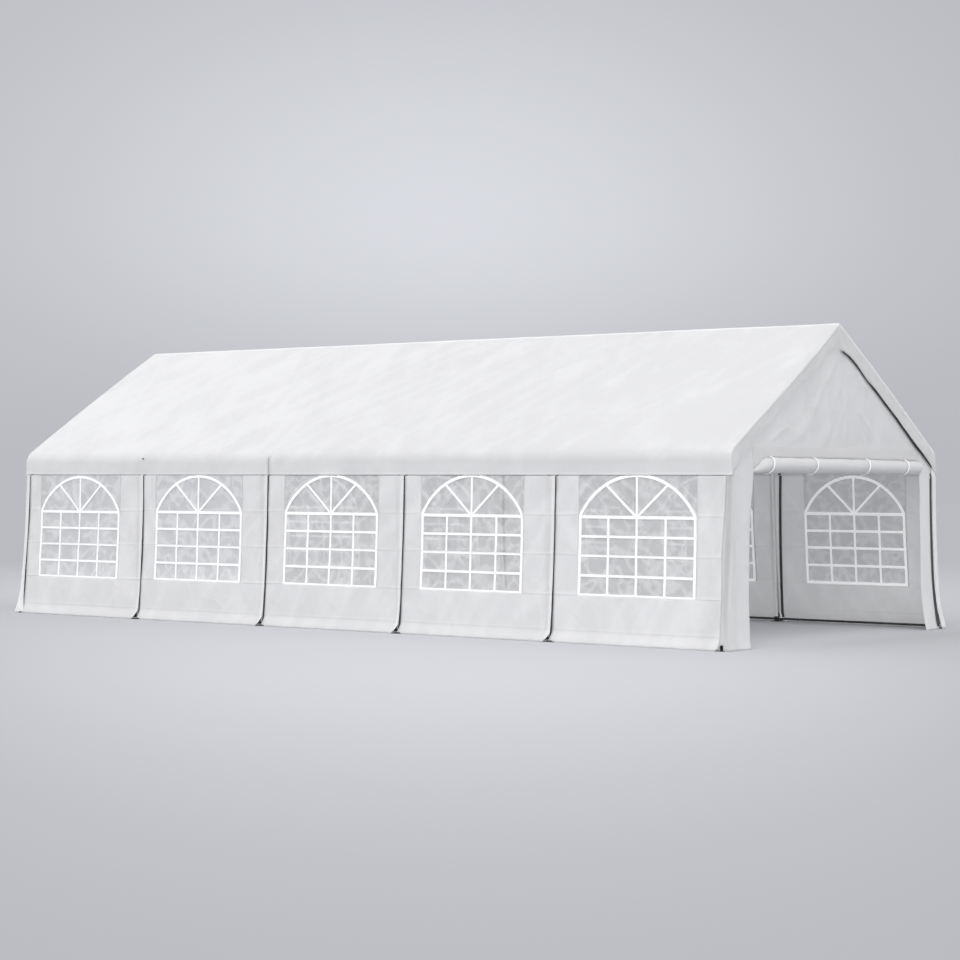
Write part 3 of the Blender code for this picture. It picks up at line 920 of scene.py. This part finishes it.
def make_side_panel(side, number, materials):
    """One panel of a side wall, with its film and the window bars that are printed on the film."""
    turned = side == "far"
    from_left = BAYS + 1 - number if turned else number
    rise = 0.0 if turned else PANEL_RISE[from_left - 1]
    x_middle = (number - 0.5) * BAY - HALF_FRAME
    left = window_x(WINDOW_SHIFT - WINDOW_HALF, from_left, turned)
    right = window_x(WINDOW_SHIFT + WINDOW_HALF, from_left, turned)
    bottom = WINDOW_BOTTOM + rise
    own_place = PATTERN_STEP * from_left + (PATTERN_FAR if turned else 0.0)

    def on_film(x, z):
        px, py, pz = wall_place(window_x(x, from_left, turned), z + rise, from_left, turned)
        return px, py + FILM_BEHIND, pz

    start = -BAY / 2 + JOINT_LEFT + (FAR_GAP if turned else JOINT_GAP[from_left - 1])
    end = BAY / 2 + JOINT_LEFT
    seams = [LAP_SEAM - 0.008, LAP_SEAM + 0.008, EDGE_TRIM - 0.007, EDGE_TRIM + 0.006]
    x = spaced([start, left, right, *seams, end], PANEL_STEP)[None, :]
    folds = [z + rise + d for z in FOLD_LINES for d in (-0.018, -0.009, 0.0, 0.007)]
    levels = [WALL_FOOT, 0.02, SKIRT - 0.01, SKIRT, SKIRT + 0.006, SKIRT + 0.014, bottom, *TUCK_LEVELS,
              WINDOW_TOP, WALL_TOP]
    z = spaced(sorted(levels + folds), PANEL_STEP)[:, None]
    inside = (x[:, :-1] >= left - TINY) & (x[:, 1:] <= right + TINY)
    high = (z[:-1] >= bottom - TINY) & (z[1:] <= WINDOW_TOP + TINY)
    # Pale trim on the hem at the right edge of all but the corner panel and pale lines along the folds; the
    # skirt, and most of all its bottom edge, are painted paler as painted light where the cloth turns out
    # towards the light.
    trim = (0.0 if from_left == BAYS else 0.8) * ease((x - EDGE_TRIM) / 0.006)
    trim = trim + 0.3 * ease((0.02 - z) / 0.004)
    trim = trim + 0.3 * sum(hump(z - rise, line, 0.005) for line in FOLD_LINES)
    trim = trim + 0.2 * ease((SKIRT - z) / 0.02)
    panel = grid(*wall_place(x, z, from_left, turned), x + own_place, z, ~(high & inside), trim)
    cloth = add_piece(f"{side}_panel_{number}", [panel], materials["wall"], x_middle, turned,
                      CLOTH)
    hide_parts(f"{side}_wall_{number}")

    x = spaced([left - FILM_LAP, right + FILM_LAP], FILM_STEP)[None, :]
    z = spaced([bottom - FILM_LAP, *TUCK_LEVELS, WINDOW_TOP], FILM_STEP)[:, None]
    film = grid(*film_place(x, z, from_left, turned), x + own_place, z)
    pane = add_piece(f"{side}_film_{number}", [film], materials["film"], x_middle, turned)
    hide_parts(f"{side}_window_{number}")
    bars = make_bars(f"{side}_window_bars_{number}", on_film, materials, x_middle, turned)


# Joint tapes, ends of the feet, and eyelets

TAPE_WIDTH = 0.046
TAPE_MORE_AT_CORNER = 0.04
TAPE_BACK_WIDTH = 0.07
TAPE_FOOT = 0.045
TAPE_TOP = 1.70
TAPE_BACK_FOOT = 0.10
TAPE_BEHIND = 0.0045
INNER_TAPE = -0.095
INNER_TAPE_LEAN = 0.048
INNER_TAPE_WIDTH = 0.035
INNER_TAPE_TOP = 1.80
FOOT_HALF = 0.034
FOOT_SHIFT = 0.018
FOOT_RISE = 0.018
FOOT_AHEAD = 0.034
CORNER_GAP_X = 4.972
CORNER_GAP_Z = (0.004, 0.062)
EYELETS = {"near": ((-3.0, 1.855),), "far": ((-5.03, 1.807),)}
EYELET_RADIUS = 0.009


def make_joint_tapes(side, materials):
    """Dark tape behind each gap between panels, backed with cloth, and dark tape inside beside each post.

    The black end of each foot shows under the lifted hems, and in the gap at the soft corner.
    """
    turned = side == "far"
    dark, backs = [], []
    for number in range(BAYS):
        x_joint = number * BAY - HALF_FRAME
        middle = JOINT_LEFT + (FAR_GAP if turned else JOINT_GAP[number]) / 2

        def place(u, v, x_joint=x_joint, number=number):
            x = u + x_joint + shear(v, turned) + joint_swing(v) + joint_place(number, v, turned)
            return x, -(wall_y(v) - TAPE_BEHIND), v

        top = (middle, TAPE_TOP)
        width = TAPE_WIDTH + (0.0 if number else TAPE_MORE_AT_CORNER)
        dark.append(ribbon(straight((middle, TAPE_FOOT), top), width, 0.0006, place)[0])
        backs.append(ribbon(straight((middle, TAPE_BACK_FOOT), top), TAPE_BACK_WIDTH, 0.0012, place)[1])
        if number:
            path = straight((INNER_TAPE + INNER_TAPE_LEAN, TAPE_FOOT), (INNER_TAPE, INNER_TAPE_TOP))
            dark.append(ribbon(path, INNER_TAPE_WIDTH, 0.0006, place, 0.003)[1])
        foot = middle + FOOT_SHIFT
        path = straight((foot - FOOT_HALF, FOOT_RISE / 2), (foot + FOOT_HALF, FOOT_RISE / 2))
        dark.append(ribbon(path, FOOT_RISE - 0.002, FOOT_AHEAD, place)[0])

    def corner_gap(u, v):
        return u, -(wall_y(v) - 0.012), v

    path = straight(*((CORNER_GAP_X, z) for z in CORNER_GAP_Z))
    dark.append(ribbon(path, 0.026, 0.0, corner_gap)[0])
    tapes = add_piece(f"{side}_joint_tapes", dark + backs, materials["tape"], 0.0, turned)
    add_second_material(tapes, materials["wall"], dark)


def make_eyelets(side, material):
    """Small dark eyelets in the valance."""
    around = np.linspace(0.0, 2 * math.pi, 17)[None, :]
    out = np.array([0.001, 0.35, 0.8, 1.0])[:, None]
    y = -(HALF_WIDTH + 0.003 + 0.012 * np.sqrt(1.0 - 0.99 * out ** 2))
    across, up = EYELET_RADIUS * out * np.cos(around), EYELET_RADIUS * out * np.sin(around)
    grids = [grid(x + across, y, z + up) for x, z in EYELETS[side]]
    add_piece(f"{side}_eyelets", grids, material, 0.0, side == "far", 0.003, 0.0)


# End walls with their gable, jambs and corner strips

STRIP_INNER = 2.235
STRIP_TOP = 1.77
UNDERLAP = -0.8
NOTCH_ROWS = 3
NOTCH_START = 0.6
NOTCH_END = 1.1
DOOR_ROWS = 5
GABLE_STEP = 0.035


def end_columns():
    """Path round one half of an end wall: 0 to 1 side, to 2 corner, to 3 jamb, to 4 gable's middle."""
    return np.concatenate([
        np.linspace(UNDERLAP, 1.0, 13),
        np.linspace(1.0, 2.0, 10)[1:],
        spaced([2.0, STRIP_INNER, 2.27, 2.91, 2.95, 3.0], 0.05)[1:],
        np.linspace(3.0, 4.0, int(DOOR_HALF_TOP / GABLE_STEP))[1:],
    ])


def end_plan(path, side, z, lean):
    """X and Y of an end wall's outer face on its path at height z, on the near (-1) or far (1) half."""
    corner_y = wall_y(z)
    face = end_face(z, lean) - WALL_SET_BACK + FOOT_KICK * share_below(z, KICK_HEIGHT) ** 2
    corner = np.where(side < 0, SOFT_CORNER, STRIP_CORNER)
    far_door = DOOR_HALF_TOP + (DOOR_HALF_FOOT - DOOR_HALF_TOP) * flare(z)
    door_y = np.where(side < 0, np.interp(z, NEAR_JAMB_Z, NEAR_JAMB_Y), far_door)
    start_x = np.where(side < 0, CORNER_START, HALF_FRAME)
    round_turn = np.clip(path - 1.0, 0.0, 1.0) * math.pi / 2
    jamb = np.clip(path - 2.0, 0.0, 1.0)
    gable = np.clip(path - 3.0, 0.0, 1.0)
    reach = face - corner * (1.0 - np.sin(round_turn))
    x = np.where(path < 1.0, start_x + path * (face - corner - start_x), np.where(path < 2.0, reach, face))
    start_y = corner_y - corner
    on_side = corner_y - corner * (1 - np.cos(round_turn))
    y = np.where(path < 2.0, on_side, start_y + jamb * (door_y - start_y))
    y = np.where(path > 3.0, door_y * (1.0 - gable), y)
    return x, y * side


def end_heights(y_top):
    """Rows of an end wall: level up to the jambs' top, then spread to the door's top and on to the cover."""
    levels = spaced([WALL_FOOT, 0.035, 0.1, 0.106, *TUCK_LEVELS, JAMB_TOP], 0.03)[:, None]
    low = levels + 0.0 * y_top
    top = np.minimum(under_cover(y_top, 0.0075), np.where(np.abs(y_top) > SHOULDER_Y + 0.03, CORNER_TOP, 9.0))
    middle = np.minimum(DOOR_TOP, (JAMB_TOP + top) / 2)
    door = JAMB_TOP + np.arange(1, DOOR_ROWS + 1)[:, None] / DOOR_ROWS * (middle - JAMB_TOP)
    share = np.linspace(0.0, 1.0, 40)[1:, None]
    return np.concatenate([low, door, middle + share * (top - middle)]), len(levels)


def end_folds(y, z, path, side, seed):
    """Folds of an end wall: soft hanging folds on the jambs, crumples under the flaps on the gable."""
    jamb = ease((path - 1.1) / 0.8) * ease((DOOR_TOP - z) / 0.25)
    gable = ease((z - ROLL_SEAM_Z - 0.01) / 0.16) * ease((path - 1.0) / 1.5)
    hanging = 0.014 * waves(path, z, (0.42, 1.3), seed) + 0.006 * waves(path, z, (0.2, 0.5), seed + 1, 0.1)
    small = 0.0040 * creases(path, z, (0.5, 0.7), seed + 2, 0.3, 5) - 0.002
    drapes = 0.0090 * waves(y, z, (0.12, 0.6), seed + 3)
    drapes = drapes + 0.0130 * (creases(y, z, (0.15, 0.7), seed + 4, 0.12, 4) - 0.3)
    slanted = 0.0130 * (creases(y, z, (0.20, 0.8), seed + 5, side * 0.85, 4) - 0.25)
    under_flap = ease((under_cover(y, 0.0) - z - 0.15) / 0.3)
    return jamb * (hanging * (1.15 - z / 1.9) + small) + gable * (drapes + slanted) * under_flap


def end_wall_grid(lean, seed):
    half = end_columns()
    path = np.concatenate([half, half[-2::-1]])[None, :]
    side = np.where(np.arange(path.size) < half.size, -1.0, 1.0)[None, :]
    z, low_rows = end_heights(end_plan(path, side, JAMB_TOP, lean)[1])
    x, y = end_plan(path, side, z, lean)
    on_face = ease((path - 1.0) / 0.9)
    hem = 0.0020 * ease((path - 2.91) / 0.03) * (path <= 3.0) * (z < DOOR_TOP)
    out = end_folds(y, z, path, side, seed) + hem + 0.008 * ease((0.10 - z) / 0.10) * (path < 3.0)
    x = x + out * on_face
    y = y + side * (out * (1.0 - on_face) - 0.007 * ease((1.15 - path) / 0.3))
    # Painted shade darkens the near corner's wrap below the valance, less so towards the ground; the far jamb
    # gets pale trim.
    shade = -ease((path - 0.7) / 0.6) * ease((1.85 - path) / 0.35) * (side < 0) * (z < VALANCE_BOTTOM + 0.05)
    shade = shade * (0.7 + 0.3 * ease(z / 0.4)) + 0.3 * (side > 0) * (path > 1.9) * (path < 3.0)
    row = np.arange(z.shape[0] - 1)[:, None]
    first = np.minimum(path[:, :-1], path[:, 1:])
    last = np.maximum(path[:, :-1], path[:, 1:])
    near = side[:, 1:] < 0
    door = (row < low_rows + DOOR_ROWS - 1) & (first >= 3.0 - TINY)
    under_strip = ~near & (last <= STRIP_INNER + 0.036) & (row < low_rows - 2)
    notch = near & (row < NOTCH_ROWS) & (first > NOTCH_START) & (last < NOTCH_END)
    return grid(x, y, z, y + side * (x - HALF_FRAME), z, ~door & ~under_strip & ~notch, shade)


def strip_place(path, z, lean, seed):
    """X, Y and Z of the separate strip round the far front corner, which flares out at its foot."""
    x, y = end_plan(path, 1.0, z, lean)
    rim = ease(np.abs(path - 1.3) / 1.1)
    out = 0.004 + 0.004 * waves(path, z, (0.9, 0.45), seed) + 0.007 * rim
    foot = 0.040 * ease((0.30 - z) / 0.30) ** 1.6
    toward_face = ease((path - 0.6) / 1.2)
    x = x + out * toward_face + foot * 0.15 * toward_face - (foot + 0.009) * ease((0.8 - path) / 0.8)
    return x, y + out * (1 - toward_face) + foot * 0.5, z


def rake_shadow_grid(lean):
    """Dark sheet on the gable under the loose flap, a painted shadow that shows as a line of changing width
    along its hem.
    """
    s = np.linspace(2 * HALF_OUTLINE - SLOPE_START - 0.05, HALF_OUTLINE + 0.03, 90)[:, None]
    climbed, y, z = flap_hem(s)
    apex_share = (s - HALF_OUTLINE) / SLOPE
    z = z + rake_bulge(apex_share) * ease(climbed / 0.3)
    peek = RAKE_SHADOW_PEEK * (0.85 + 0.45 * waves(s, 0.0, (0.22, 1.0), 26)) * ease(climbed / 0.4)
    peek = peek * ease((apex_share - 0.02) / 0.1)
    down = np.linspace(0.0, -RAKE_SHADOW_WIDTH, 3)[None, :] + peek
    y_out = y - down * math.sin(ROOF_PITCH)
    z_out = z - down * math.cos(ROOF_PITCH)
    x = end_face(z_out, lean) + np.linspace(*RAKE_SHADOW_STANDS, 3)[None, :]
    return grid(x, y_out, z_out, y_out, z_out)


def make_end(end, turned, materials, seed):
    """An end wall with its separate corner strip, dark tape beside the strip, and a dark sheet under the
    loose flap that is a painted shadow.
    """
    lean = end_lean(turned)
    sheet = end_wall_grid(lean, seed)
    wall = add_piece(f"{end}_end_sheet", [sheet], materials["end wall"], 0.0, turned, CLOTH)
    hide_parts(f"{end}_end_wall")
    round_path = np.linspace(1.0, 2.0, 9)[1:]
    path = np.concatenate([np.linspace(-0.25, 1.0, 8), round_path, np.linspace(2.0, STRIP_INNER, 6)[1:]])
    z = spaced([WALL_FOOT, 0.1, *TUCK_LEVELS, STRIP_TOP], 0.03)[:, None]
    x, y, z = strip_place(path[None, ::-1], z, lean, seed + 40)
    sheet = grid(x, y, z, x + y, z, trim=1.0)
    strip = add_piece(f"{end}_corner_strip", [sheet], materials["end wall"], 0.0, turned,
                      CLOTH)
    path = np.linspace(STRIP_INNER - 0.03, STRIP_INNER + 0.09, 4)[None, ::-1]
    z = spaced([0.03, TAPE_TOP], 0.05)[:, None]
    x, y = end_plan(path, 1.0, z, lean)
    # The second grid is a dark sheet under the loose flap, a painted shadow.
    tapes = [grid(x - TAPE_BEHIND, y, z, x + y, z), rake_shadow_grid(lean)]
    tape = add_piece(f"{end}_corner_tape_and_flap_shadow", tapes, materials["tape"], 0.0, turned, 0.001)


# Rolled-up doors and their ties


def roll_shape(y):
    """Share of the radius, and drop of the roll's middle, at y: it tapers near and is rounded far off."""
    near = ease((y + ROLL_HALF) / ROLL_TAPER)
    far = np.sqrt(np.clip(1.0 - (np.clip(y - ROLL_HALF + 0.07, 0.0, None) / 0.075) ** 2, 0.0, 1.0))
    size = (0.22 + 0.78 * near) * (0.55 + 0.45 * far)
    pinch = sum(hump(y, tie, 0.035) + 1.3 * hump(y, tie - 0.022, 0.010) for tie in TIE_PLACES)
    belly = 0.02 * waves(y, 0.0, (0.4, 1.0), 61)
    return size * (1.0 - 0.055 * pinch + belly), ROLL_TILT * y - ROLL_RADIUS * 0.72 * (1.0 - near)


def make_roll(end, turned, materials, seed):
    """A door that hangs from its seam on the gable, rolled up from its foot and held by ties."""
    lean = end_lean(turned)
    marks = [-ROLL_HALF, -ROLL_HALF + ROLL_TAPER, ROLL_HALF - 0.08, ROLL_HALF]
    ties = [tie + d for tie in TIE_PLACES for d in (-0.07, -0.036, -0.022, -0.008, 0.0, 0.07)]
    y = spaced(sorted(marks + ties), 0.035)
    y = np.concatenate([y[:-1], spaced([y[-2], y[-1]], 0.01)[1:]])[None, :]
    turns = np.linspace(0.0, ROLL_TURNS * 2 * math.pi, int(ROLL_TURNS * 36))[:, None]
    wall_face = end_face(ROLL_Z, lean) - WALL_SET_BACK
    axis_x = wall_face - ROLL_BACK
    size, drop = roll_shape(y)
    inward = np.clip((turns - 2 * math.pi) / (turns[-1, 0] - 2 * math.pi), 0.0, 1.0)
    radius = (ROLL_RADIUS - ROLL_PITCH * turns / (2 * math.pi) + (ROLL_CORE - ROLL_RADIUS) * inward) * size
    ripples = 0.0030 * creases(y, turns * ROLL_RADIUS, (0.16, 0.25), seed, 0.4, 4)
    ripples = ripples + 0.0016 * waves(y, turns * 0.08, (0.07, 0.1), seed + 1)
    radius = radius + (ripples - 0.002) * (1.0 - inward) ** 3
    angle = ROLL_START + turns
    x = axis_x + radius * np.cos(angle)
    z = ROLL_Z + drop + radius * np.sin(angle)

    # From its seam the cloth comes down over the door's top edge and behind the roll
    rise = np.linspace(1.0, 0.0, 6)[:-1, None]
    seam_x = end_face(ROLL_SEAM_Z, lean) - WALL_SET_BACK + 0.0035
    hang_x = wall_face + 0.003
    hang_z = ROLL_Z + ROLL_RADIUS + 0.001
    over_x = hang_x + rise * (seam_x - hang_x)
    over_z = hang_z + rise * (ROLL_SEAM_Z - hang_z) + 0.0 * y
    back_x = hang_x + (1 - rise) * (x[0:1] - hang_x)
    back_z = hang_z + (1 - rise) * (z[0:1] - hang_z)
    x = np.concatenate([over_x + 0.0 * y, back_x, x])
    z = np.concatenate([over_z, back_z, z])
    v = np.concatenate([rise * -0.09 - 0.09, rise * -0.08, turns * ROLL_RADIUS * 0.6]) + 0.0 * y
    sheet = grid(x[::-1], y, z[::-1], y, v[::-1])
    roll = add_piece(f"{end}_rolled_door", [sheet], materials["roll"], 0.0, turned)
    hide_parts(f"{end}_door_roll")
    for number, tie_y in enumerate(TIE_PLACES, start=1):
        make_tie(end, number, tie_y, axis_x, turned, materials["tie"])


def make_tie(end, number, tie_y, axis_x, turned, material):
    """A round tape loop that holds the roll, leaning to the near side below."""
    around = np.linspace(0.0, 2 * math.pi, 49)[:, None]
    section = np.linspace(0.0, 2 * math.pi, 13)[None, :]
    size, drop = (float(value) for value in roll_shape(np.array(tie_y)))
    ring = ROLL_RADIUS * size + TIE_RADIUS * 0.8
    reach = ring + TIE_RADIUS * 0.7 * np.cos(section)
    x = axis_x + reach * np.cos(around) * np.where(np.cos(around) > 0, 1.0, 0.9)
    z = ROLL_Z + drop + reach * np.sin(around)
    y = tie_y + TIE_RADIUS * np.sin(section) + TIE_SLANT * np.sin(around)
    loop = grid(x, y, z, around * ring, section * TIE_RADIUS)
    tie = add_piece(f"{end}_tie_loop_{number}", [loop], material, 0.0, turned)
    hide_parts(f"{end}_door_tie_{number}")


# Steel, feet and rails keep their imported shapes


def dress_frame(materials):
    for name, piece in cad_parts.items():
        if name.startswith("portal_frame") or name in ROOF_RAILS:
            material = materials["steel"]
        elif "ground_rail" in name or "post_foot" in name:
            material = materials["black"]
        else:
            continue
        piece.data.materials.clear()
        piece.data.materials.append(material)


# Studio

SKY_TINT = (1.0, 1.022, 1.085)
SKY_LEVEL = 0.487
GLOW_LEVEL = 0.215
GLOW_PLACES = 8
GLOW_YAW = CAMERA_YAW + math.radians(0.7)
GLOW_WIDTH = math.radians(10.0)
GLOW_HEIGHT = math.radians(6.2)
GLOW_SPREAD = math.radians(5.8)
SIDE_FALL = 0.016
DOME_TINT = (1.0, 1.0, 1.012)
DOME_LEVEL = 1.06
KEY_STRENGTH = 1.24
KEY_ANGLE = math.radians(70)
KEY_FROM = (0.20, -0.62, 0.80)
FLOOR_TONE = (0.518, 0.527, 0.549)
FLOOR_MOTTLE = 0.005
FLOOR_RINGS = (0.01, 4.0, 8.0, 16.0, 30.0, 60.0, 110.0)
FADE_START = 6.5
FADE_END = 22.0
FAN_FALL = 4.2
FAN_MOST = 0.2
PAINTED_LIGHT_UNDER_TENT = 1.3
UNDER_ENDS = (HALF_FRAME - 0.4, HALF_FRAME + 0.6)
UNDER_SIDES = (HALF_WIDTH - 0.5, HALF_WIDTH + 0.1)


def yaw_of(x, y):
    """Angle to the left of the Y axis, as a camera's yaw is counted."""
    return calculate("ARCTAN2", x * -1.0, y)


def make_world():
    """A soft even dome lights the tent; the camera sees a grey-blue backdrop with a pale glow all round."""
    world = bpy.data.worlds.new("studio")
    bpy.context.scene.world = world
    world.use_nodes = True
    tree = world.node_tree
    tree.nodes.clear()
    x, y, z = axes(node(tree, "ShaderNodeTexCoord", (), "Generated"))
    height = calculate("ARCSINE", z)
    sector = 2 * math.pi / GLOW_PLACES
    turn = yaw_of(x, y) - (GLOW_YAW - sector / 2 - 2 * math.pi)
    aside = (calculate("MODULO", turn, sector) - sector / 2) / GLOW_WIDTH
    above = calculate("MAXIMUM", (height - GLOW_HEIGHT) / GLOW_SPREAD, 0.0)
    glow = calculate("EXPONENT", (aside * aside + above * above) * -1.0)
    glow *= remap(height, 0.0, GLOW_HEIGHT, 0.0, GLOW_LEVEL, True)
    slant = calculate("SINE", aside * (GLOW_WIDTH * GLOW_PLACES))
    level = glow + (slant * (SKY_LEVEL * SIDE_FALL) + SKY_LEVEL)
    seen = node(tree, "ShaderNodeBackground", Color=(*SKY_TINT, 1.0), Strength=level)
    light = node(tree, "ShaderNodeBackground", Color=(*DOME_TINT, 1.0), Strength=DOME_LEVEL)
    camera_ray = node(tree, "ShaderNodeLightPath", (), "Is Camera Ray")
    mix = node(tree, "ShaderNodeMixShader", _0=camera_ray, _1=light, _2=seen)
    node(tree, "ShaderNodeOutputWorld", Surface=mix)


def floor_material():
    """Pale studio floor that runs into the backdrop's tone far from the tent.

    Its tone falls off sideways on a fan that is fixed in the scene, with its centre below the camera's place,
    as a painted falloff of light. Under the tent it is painted brighter, as painted light.
    """
    material, tree = new_tree("studio_floor")
    place = node(tree, "ShaderNodeNewGeometry", (), "Position")
    shares = (1.0 - FLOOR_MOTTLE, 1.0 + FLOOR_MOTTLE)
    tone = two_tone(noise(place, 0.9), *(tuple(c * share for c in FLOOR_TONE) for share in shares))
    x, y, _ = axes(place)
    aside = yaw_of(x - CAMERA_PLACE[0], y - CAMERA_PLACE[1]) - GLOW_YAW
    # Painted light: the floor grows darker sideways from a centre below the camera's place.
    fan = 1.0 - calculate("MINIMUM", aside * aside * FAN_FALL, FAN_MOST)
    within_x = remap(calculate("ABSOLUTE", x), *UNDER_ENDS, 1.0, 0.0, True)
    within_y = remap(calculate("ABSOLUTE", y), *UNDER_SIDES, 1.0, 0.0, True)
    # Painted light: the floor under the tent is painted brighter.
    painted_light_pool = scaled(tone, fan * remap(within_x * within_y, 0.0, 1.0, 1.0, PAINTED_LIGHT_UNDER_TENT))
    near = node(tree, "ShaderNodeBsdfDiffuse", Color=painted_light_pool)
    far = node(tree, "ShaderNodeEmission", Color=(*SKY_TINT, 1.0), Strength=SKY_LEVEL)
    distance = node(tree, "ShaderNodeVectorMath", {"operation": "LENGTH"}, "Value", _0=place)
    fade = remap(distance, FADE_START, FADE_END, smooth=True)
    finish_surface(node(tree, "ShaderNodeMixShader", _0=fade, _1=near, _2=far))
    return material


def make_floor():
    around = np.linspace(0.0, 2 * math.pi, 97)[None, :]
    out = np.array(FLOOR_RINGS)[:, None]
    mesh = mesh_of("studio_floor", [grid(out * np.cos(-around), out * np.sin(-around), 0.0 * out * around)])
    mesh.flip_normals()
    mesh.materials.append(floor_material())
    add_object("studio_floor", mesh)


def make_key_light():
    light = bpy.data.lights.new("soft_key", "SUN")
    light.energy = KEY_STRENGTH
    light.angle = KEY_ANGLE
    direction = np.array(KEY_FROM) / np.linalg.norm(KEY_FROM)
    yaw = math.atan2(direction[1], direction[0]) + math.pi / 2
    add_object("soft_key", light).rotation_euler = (math.acos(direction[2]), 0.0, yaw)


def make_camera():
    lens = bpy.data.cameras.new("photo_camera")
    lens.lens = CAMERA_LENS
    lens.sensor_width = SENSOR
    lens.clip_end = CLIP_END
    camera = add_object("photo_camera", lens)
    level = Euler((math.pi / 2 + CAMERA_PITCH, 0.0, CAMERA_YAW)).to_matrix()
    camera.location = CAMERA_PLACE
    camera.rotation_euler = (level @ Matrix.Rotation(CAMERA_ROLL, 3, "Z")).to_euler()
    bpy.context.scene.camera = camera


# The whole scene

make_camera()
make_world()
make_key_light()
make_floor()
bpy.context.scene.view_settings.view_transform = "Standard"
MATERIALS = make_materials()
dress_frame(MATERIALS)
make_roof_cover(MATERIALS["cover"])
for side_name in ("near", "far"):
    for panel_number in range(1, BAYS + 1):
        make_side_panel(side_name, panel_number, MATERIALS)
    make_joint_tapes(side_name, MATERIALS)
    make_eyelets(side_name, MATERIALS["tape"])
for end_name, end_turned, end_seed in (("front", False, 301), ("rear", True, 351)):
    make_end(end_name, end_turned, MATERIALS, end_seed)
    make_roll(end_name, end_turned, MATERIALS, end_seed + 20)
